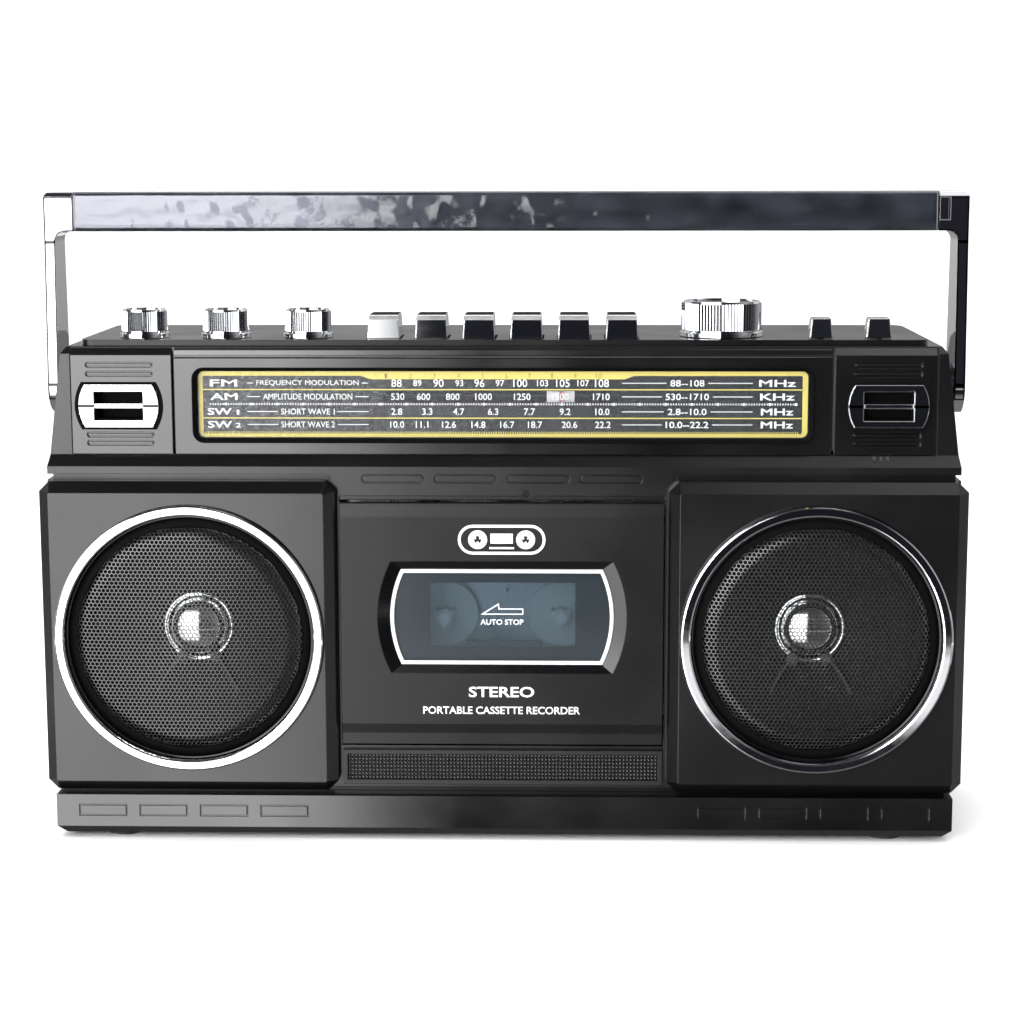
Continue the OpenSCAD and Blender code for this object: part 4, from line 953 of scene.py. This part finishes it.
for key in ("record", "play", "rewind", "forward", "stop", "pause"):
    low, high = span(key + "_key")
    x = (low.x + high.x) / 2
    pad = Shape()
    top = high.z - 0.05
    pad.block(
        [(x - 5.1, -24.8, top), (x + 5.1, -24.8, top), (x + 4.9, -10.6, top), (x - 4.9, -10.6, top)],
        [(x + a, y, top + 0.18) for a, y in ((-5.0, -24.6), (5.0, -24.6), (4.8, -10.8), (-4.8, -10.8))],
    )
    pad.made("key_pad_" + key, "line_black", "key_" + key, "black_plastic")
    # Brushed face of the bevel in front of the pad
    lip = Shape()
    slope = [(-27.01, high.z - 1.66), (-25.62, high.z - 0.19), (-25.6, high.z - 0.22), (-26.97, high.z - 1.7)]
    lip.add(
        [(x + s * w, y, z) for s in (-1, 1) for (y, z), w in zip(slope, (5.6, 5.3, 5.3, 5.6))],
        [(0, 1, 2, 3), (7, 6, 5, 4)] + [(i, (i + 1) % 4, 4 + (i + 1) % 4, 4 + i) for i in range(4)],
    )
    lip.made("key_lip_" + key, "brushed_plating", "key_" + key, "bright_plating")

for body in ("volume", "tone", "balance", "tuning"):
    low, high = span(body + "_knob")
    cx, cy = (low.x + high.x) / 2, (low.y + high.y) / 2
    r = (high.x - low.x) / 2 - 0.7 - 0.8 - 1.15
    disc = Shape()
    profile = [(r, high.z - 0.98), (r, high.z - 0.75), (r - 0.3, high.z - 0.6)]
    # Turned grooves, in a shallow dish
    count = 10 if r < 8 else 18
    for i in range(count):
        share = i / count
        profile += [((r - 0.5) * (1 - share), high.z - 0.6 + 0.05 * (i % 2) - 0.125 * share ** 0.5)]
    profile += [(0.02, high.z - 0.7)]
    disc.lathe(profile, (cx, cy, 0), axis="z", steps=64)
    disc.made("knob_disc_" + body, "satin_plating", body, "turned_steel", smooth=True)


# ---- handle film ---------------------------------------------------------------------

FILM_INSET = 0.6
TAB_X = 160.5
EDGE_W = 0.6


def handle_film():
    """Crinkled clear film wrapped round the grip."""
    low, high = span("handle_bar")
    random.seed(7)
    steps_x = 300
    half_y = (high.y - low.y) / 2
    middle_z = (low.z + high.z) / 2
    half_z = (high.z - low.z) / 2
    outline = round_rect(half_y + 0.06, half_z + 0.06, 1.9, 3)
    dense = []
    for i, p in enumerate(outline):
        q = outline[(i + 1) % len(outline)]
        gap = math.dist(p, q)
        count = max(1, int(gap / 1.1))
        dense += [(p[0] + (q[0] - p[0]) * k / count, p[1] + (q[1] - p[1]) * k / count) for k in range(count)]
    creases = [
        (random.uniform(-150, 150), random.uniform(-1.2, 1.2), random.uniform(1.2, 5.0),
         random.uniform(0.06, 0.30))
        for _ in range(44)
    ]
    rings = []
    x0, x1 = low.x + FILM_INSET, high.x - FILM_INSET
    for i in range(steps_x + 1):
        x = x0 + (x1 - x0) * i / steps_x
        ring = []
        for py, pz in dense:
            rise = 0.02
            for cx, slope, wide, tall in creases:
                d = (x - cx - slope * pz) / wide
                if abs(d) < 3:
                    rise += tall * math.exp(-d * d) * (0.5 + 0.5 * math.sin(0.9 * pz + cx))
            rise = min(rise, 0.55)
            away = Vector((py / half_y ** 2, pz / half_z ** 2)).normalized()
            lift = rise if abs(pz) < half_z - 1.5 else min(rise, 0.15)
            ring.append((x, py + away.x * lift, min(middle_z + pz + away.y * lift, high.z - 0.01)))
        rings.append(ring)
    film = Shape()
    film.skin(rings)
    film.made("handle_film", "wrap_film", "handle", "clear_plastic", smooth=True)


handle_film()

# Edges of the film, and the outline of the tab at its right end
bar_low, bar_high = span("handle_bar")
tab = Shape()
arm_y = span("handle_arms")[0].y
tab_mid = (bar_low.z + bar_high.z) / 2 + 0.9
tab.frame(
    shifted(rect(2.0, 4.2), TAB_X, tab_mid), shifted(rect(1.82, 4.02), TAB_X, tab_mid),
    arm_y - 0.04, arm_y - 0.01,
)
for x in (bar_low.x + FILM_INSET, bar_high.x - FILM_INSET):
    tab.bar(x - 0.12, bar_low.z + 0.3, x + 0.12, bar_high.z - 0.3, bar_low.y - 0.12, bar_low.y - 0.03)
tab.made("film_edges", "grey_ink", "handle", "clear_plastic")


def arm_shaded_edges():
    """Painted shade: darker strips along the front outline of both arms, standing in for the dark on their
    rounded corners.
    """
    source = NODES["handle_arms"]
    bm = bmesh.new()
    bm.from_mesh(source.data)
    bm.transform(source.matrix_world)
    bm.normal_update()
    front = {f for f in bm.faces if f.normal.y < -0.9}
    lines = Shape()
    for edge in bm.edges:
        inside = [f for f in edge.link_faces if f in front]
        if len(inside) != 1 or edge.calc_length() < 0.0004:
            continue
        a, b = (v.co / MM for v in edge.verts)
        along_edge = (b - a).normalized()
        inward = inside[0].calc_center_median() / MM - a
        inward = (inward - along_edge * inward.dot(along_edge)).normalized() * EDGE_W
        lift = Vector((0, -0.02, 0))
        lines.add([a + lift, b + lift, b + inward + lift, a + inward + lift], [(0, 1, 2, 3)])
    bm.free()
    lines.made("arm_shaded_edges", "joint_and_edge_shade_plating", "handle", "bright_plating")


arm_shaded_edges()


# ---- corner cups ---------------------------------------------------------------------

BEZEL_X = 138.0
BEZEL_Z = 158.3

for side, label in ((1, "right"), (-1, "left")):
    cup = Shape()
    cx = side * BEZEL_X
    w, h, y0, y1, t = 8.7, 5.15, -35.2, -30.2, 0.4
    cup.frame(shifted(rect(w, h), cx, BEZEL_Z), shifted(rect(w - t, h - t), cx, BEZEL_Z), y0, y1)
    cup.bar(cx - w, BEZEL_Z - h, cx + w, BEZEL_Z + h, y1, y1 + 0.5)
    cup.made("bezel_cup_" + label, "line_black", "cabinet", "dark_plastic")
    # Painted shadow: a dark ring round the bright bezel, standing in for the shadow in its groove; and the
    # joint across its middle
    groove_shadow = Shape()
    groove_shadow.frame(shifted(cut_circle(16.0, 8.6), cx, BEZEL_Z), shifted(cut_circle(14.35, 7.65), cx, BEZEL_Z),
               plate_low.y - 0.12, plate_low.y)
    groove_shadow.made("bezel_groove_shadow_" + label, "line_black", "cabinet", "dark_plastic")
    joint = Shape()
    bezel_y = span("corner_bezels")[0].y
    for s in (-1, 1):
        x0, x1 = sorted((cx + s * 8.95, cx + s * 14.3))
        joint.bar(x0, BEZEL_Z - 0.5, x1, BEZEL_Z + 0.5, bezel_y - 0.03, bezel_y)
    joint.made("bezel_joint_" + label, "joint_and_edge_shade_plating", "cabinet", "dark_plastic")


# ---- stage, light and camera ---------------------------------------------------------


FLOOR = 40.0


def stage():
    """A wide pale floor, seen by the camera and lit by the world and the soft lights."""
    mesh = bpy.data.meshes.new("studio_floor")
    mesh.from_pydata([(x, y, 0.0) for x in (-FLOOR, FLOOR) for y in (-FLOOR, FLOOR)], [], [(0, 2, 3, 1)])
    m = Material("studio_white")
    mottle = m.noise(6.0, 2.0)
    m.principled(
        Base_Color=m.mix(mottle, (0.93, 0.93, 0.93), (0.95, 0.95, 0.95)),
        Roughness=m.rescale(mottle, 0.88, 0.92),
        Specular_IOR_Level=0.1,
    )
    mesh.materials.append(M["studio_white"])
    obj = placed("studio_floor", mesh)
    obj.visible_glossy = False
    obj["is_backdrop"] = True


# The light round the object, from behind it by way of its left: degrees, and a grey or a colour
AROUND = [
    (-180, 0.07), (-162, 0.08), (-145, 0.15), (-115, 0.15), (-98, (0.02, 0.02, 0.022)),
    (-68, (0.02, 0.02, 0.022)), (-58, 0.85), (-40, 1.0), (-4.5, 0.95),
    (-4.1, (0.0024, 0.0025, 0.0033)), (24, (0.0024, 0.0025, 0.0032)),
    (40, (0.015, 0.015, 0.0165)), (62, 0.07), (80, 0.08), (98, (0.03, 0.03, 0.033)), (115, 0.15), (145, 0.15),
    (160, 0.05), (180, 0.07),
]


def world():
    """Soft studio light: a broad bright side in front on the left, a dark side in front on the right."""
    made = bpy.data.worlds.new("studio")
    made.use_nodes = True
    bpy.context.scene.world = made
    w = Tree(made.node_tree)
    split = w.node("SeparateXYZ")
    w.link(w.node("TexCoord").outputs["Generated"], split.inputs[0])
    x, y, z = split.outputs
    azimuth = w.math("ARCTAN2", x, w.math("MULTIPLY", y, -1.0))
    turn = w.math("ADD", w.math("DIVIDE", azimuth, 2 * math.pi), 0.5 + 1.1 / 360)
    ramp = w.fill(w.node("ValToRGB"), Fac=turn)
    elements = ramp.color_ramp.elements
    while len(elements) < len(AROUND):
        elements.new(0.5)
    for element, (degrees, shade) in zip(elements, AROUND):
        element.position = degrees / 360 + 0.5
        element.color = (*(shade if isinstance(shade, tuple) else [shade] * 3), 1)
    around = ramp.outputs["Color"]
    elevation = w.math("ARCSINE", z)

    def band(start, end):
        """0 to 1 as the elevation goes from start to end, in degrees."""
        return w.step(elevation, math.radians(start), math.radians(end))

    # A paler stripe low down, then the dark below it
    colour = w.mix(band(-12.1, -12.6), around, w.mix(1.0, around, (0.22, 0.22, 0.224), "LIGHTEN"))
    colour = w.mix(band(-13.8, -14.8), colour, around)
    colour = w.mix(band(-30, -45), colour, (0.04, 0.04, 0.04))
    # Dark above, but for the ceiling on the right and the sky behind
    ceiling = w.mix(w.step(x, 0.02, 0.14), (0.005, 0.005, 0.0056), (0.15, 0.15, 0.15))
    high = w.mix(band(60, 70), (0.0075, 0.0075, 0.0087), ceiling)
    high = w.mix(w.step(y, 0.1, 0.4), high, (0.26, 0.26, 0.26))
    colour = w.mix(band(30, 40), colour, high)
    gain = w.math("MULTIPLY", 5.4, w.math("ADD", 0.8, w.math("MULTIPLY", band(-8, 0), 0.45)))
    lit = w.shader("Background", Color=colour, Strength=gain)
    seen = w.shader("Background", Color=(1, 1, 1), Strength=1.05)
    camera_ray = w.node("LightPath").outputs["Is Camera Ray"]
    w.link(w.over(camera_ray, lit, seen), w.node("OutputWorld").inputs["Surface"])


def soft_light(name, kind, energy, **settings):
    """A light that shows in no reflection."""
    data = bpy.data.lights.new(name, kind)
    data.energy = energy
    for key, value in settings.items():
        setattr(data, key, value)
    obj = placed(name, data)
    obj.visible_glossy = False
    return obj


stage()
world()
overhead = soft_light("overhead", "AREA", 22, shape="RECTANGLE", size=1.6, size_y=1.2)
overhead.location = (-0.25, -0.15, 1.5)
overhead.rotation_euler = (Vector((0, 0, 0.1)) - overhead.location).to_track_quat("-Z", "Y").to_euler()
overhead.visible_camera = False
sky = soft_light("sky_fill", "SUN", 1.6, angle=math.radians(100))
sky.rotation_euler = (math.radians(-8), 0, 0)

camera = placed("camera", bpy.data.cameras.new("camera"))
camera.data.sensor_width = 36.0
camera.data.lens = 78.76
camera.data.clip_start = 0.05
PITCH, YAW, ROLL = math.radians(9.011), math.radians(-1.533), math.radians(0.11)
forward = Vector((math.sin(YAW) * math.cos(PITCH), math.cos(YAW) * math.cos(PITCH), -math.sin(PITCH)))
level = Vector((math.cos(YAW), -math.sin(YAW), 0))
upright = level.cross(forward)
right = level * math.cos(ROLL) - upright * math.sin(ROLL)
up = level * math.sin(ROLL) + upright * math.cos(ROLL)
camera.matrix_world = Matrix((
    (right.x, up.x, -forward.x, 0.02488),
    (right.y, up.y, -forward.y, -0.8345),
    (right.z, up.z, -forward.z, 0.24658),
    (0, 0, 0, 1),
))
bpy.context.scene.camera = camera
bpy.context.scene.view_settings.view_transform = "Standard"

low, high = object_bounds()
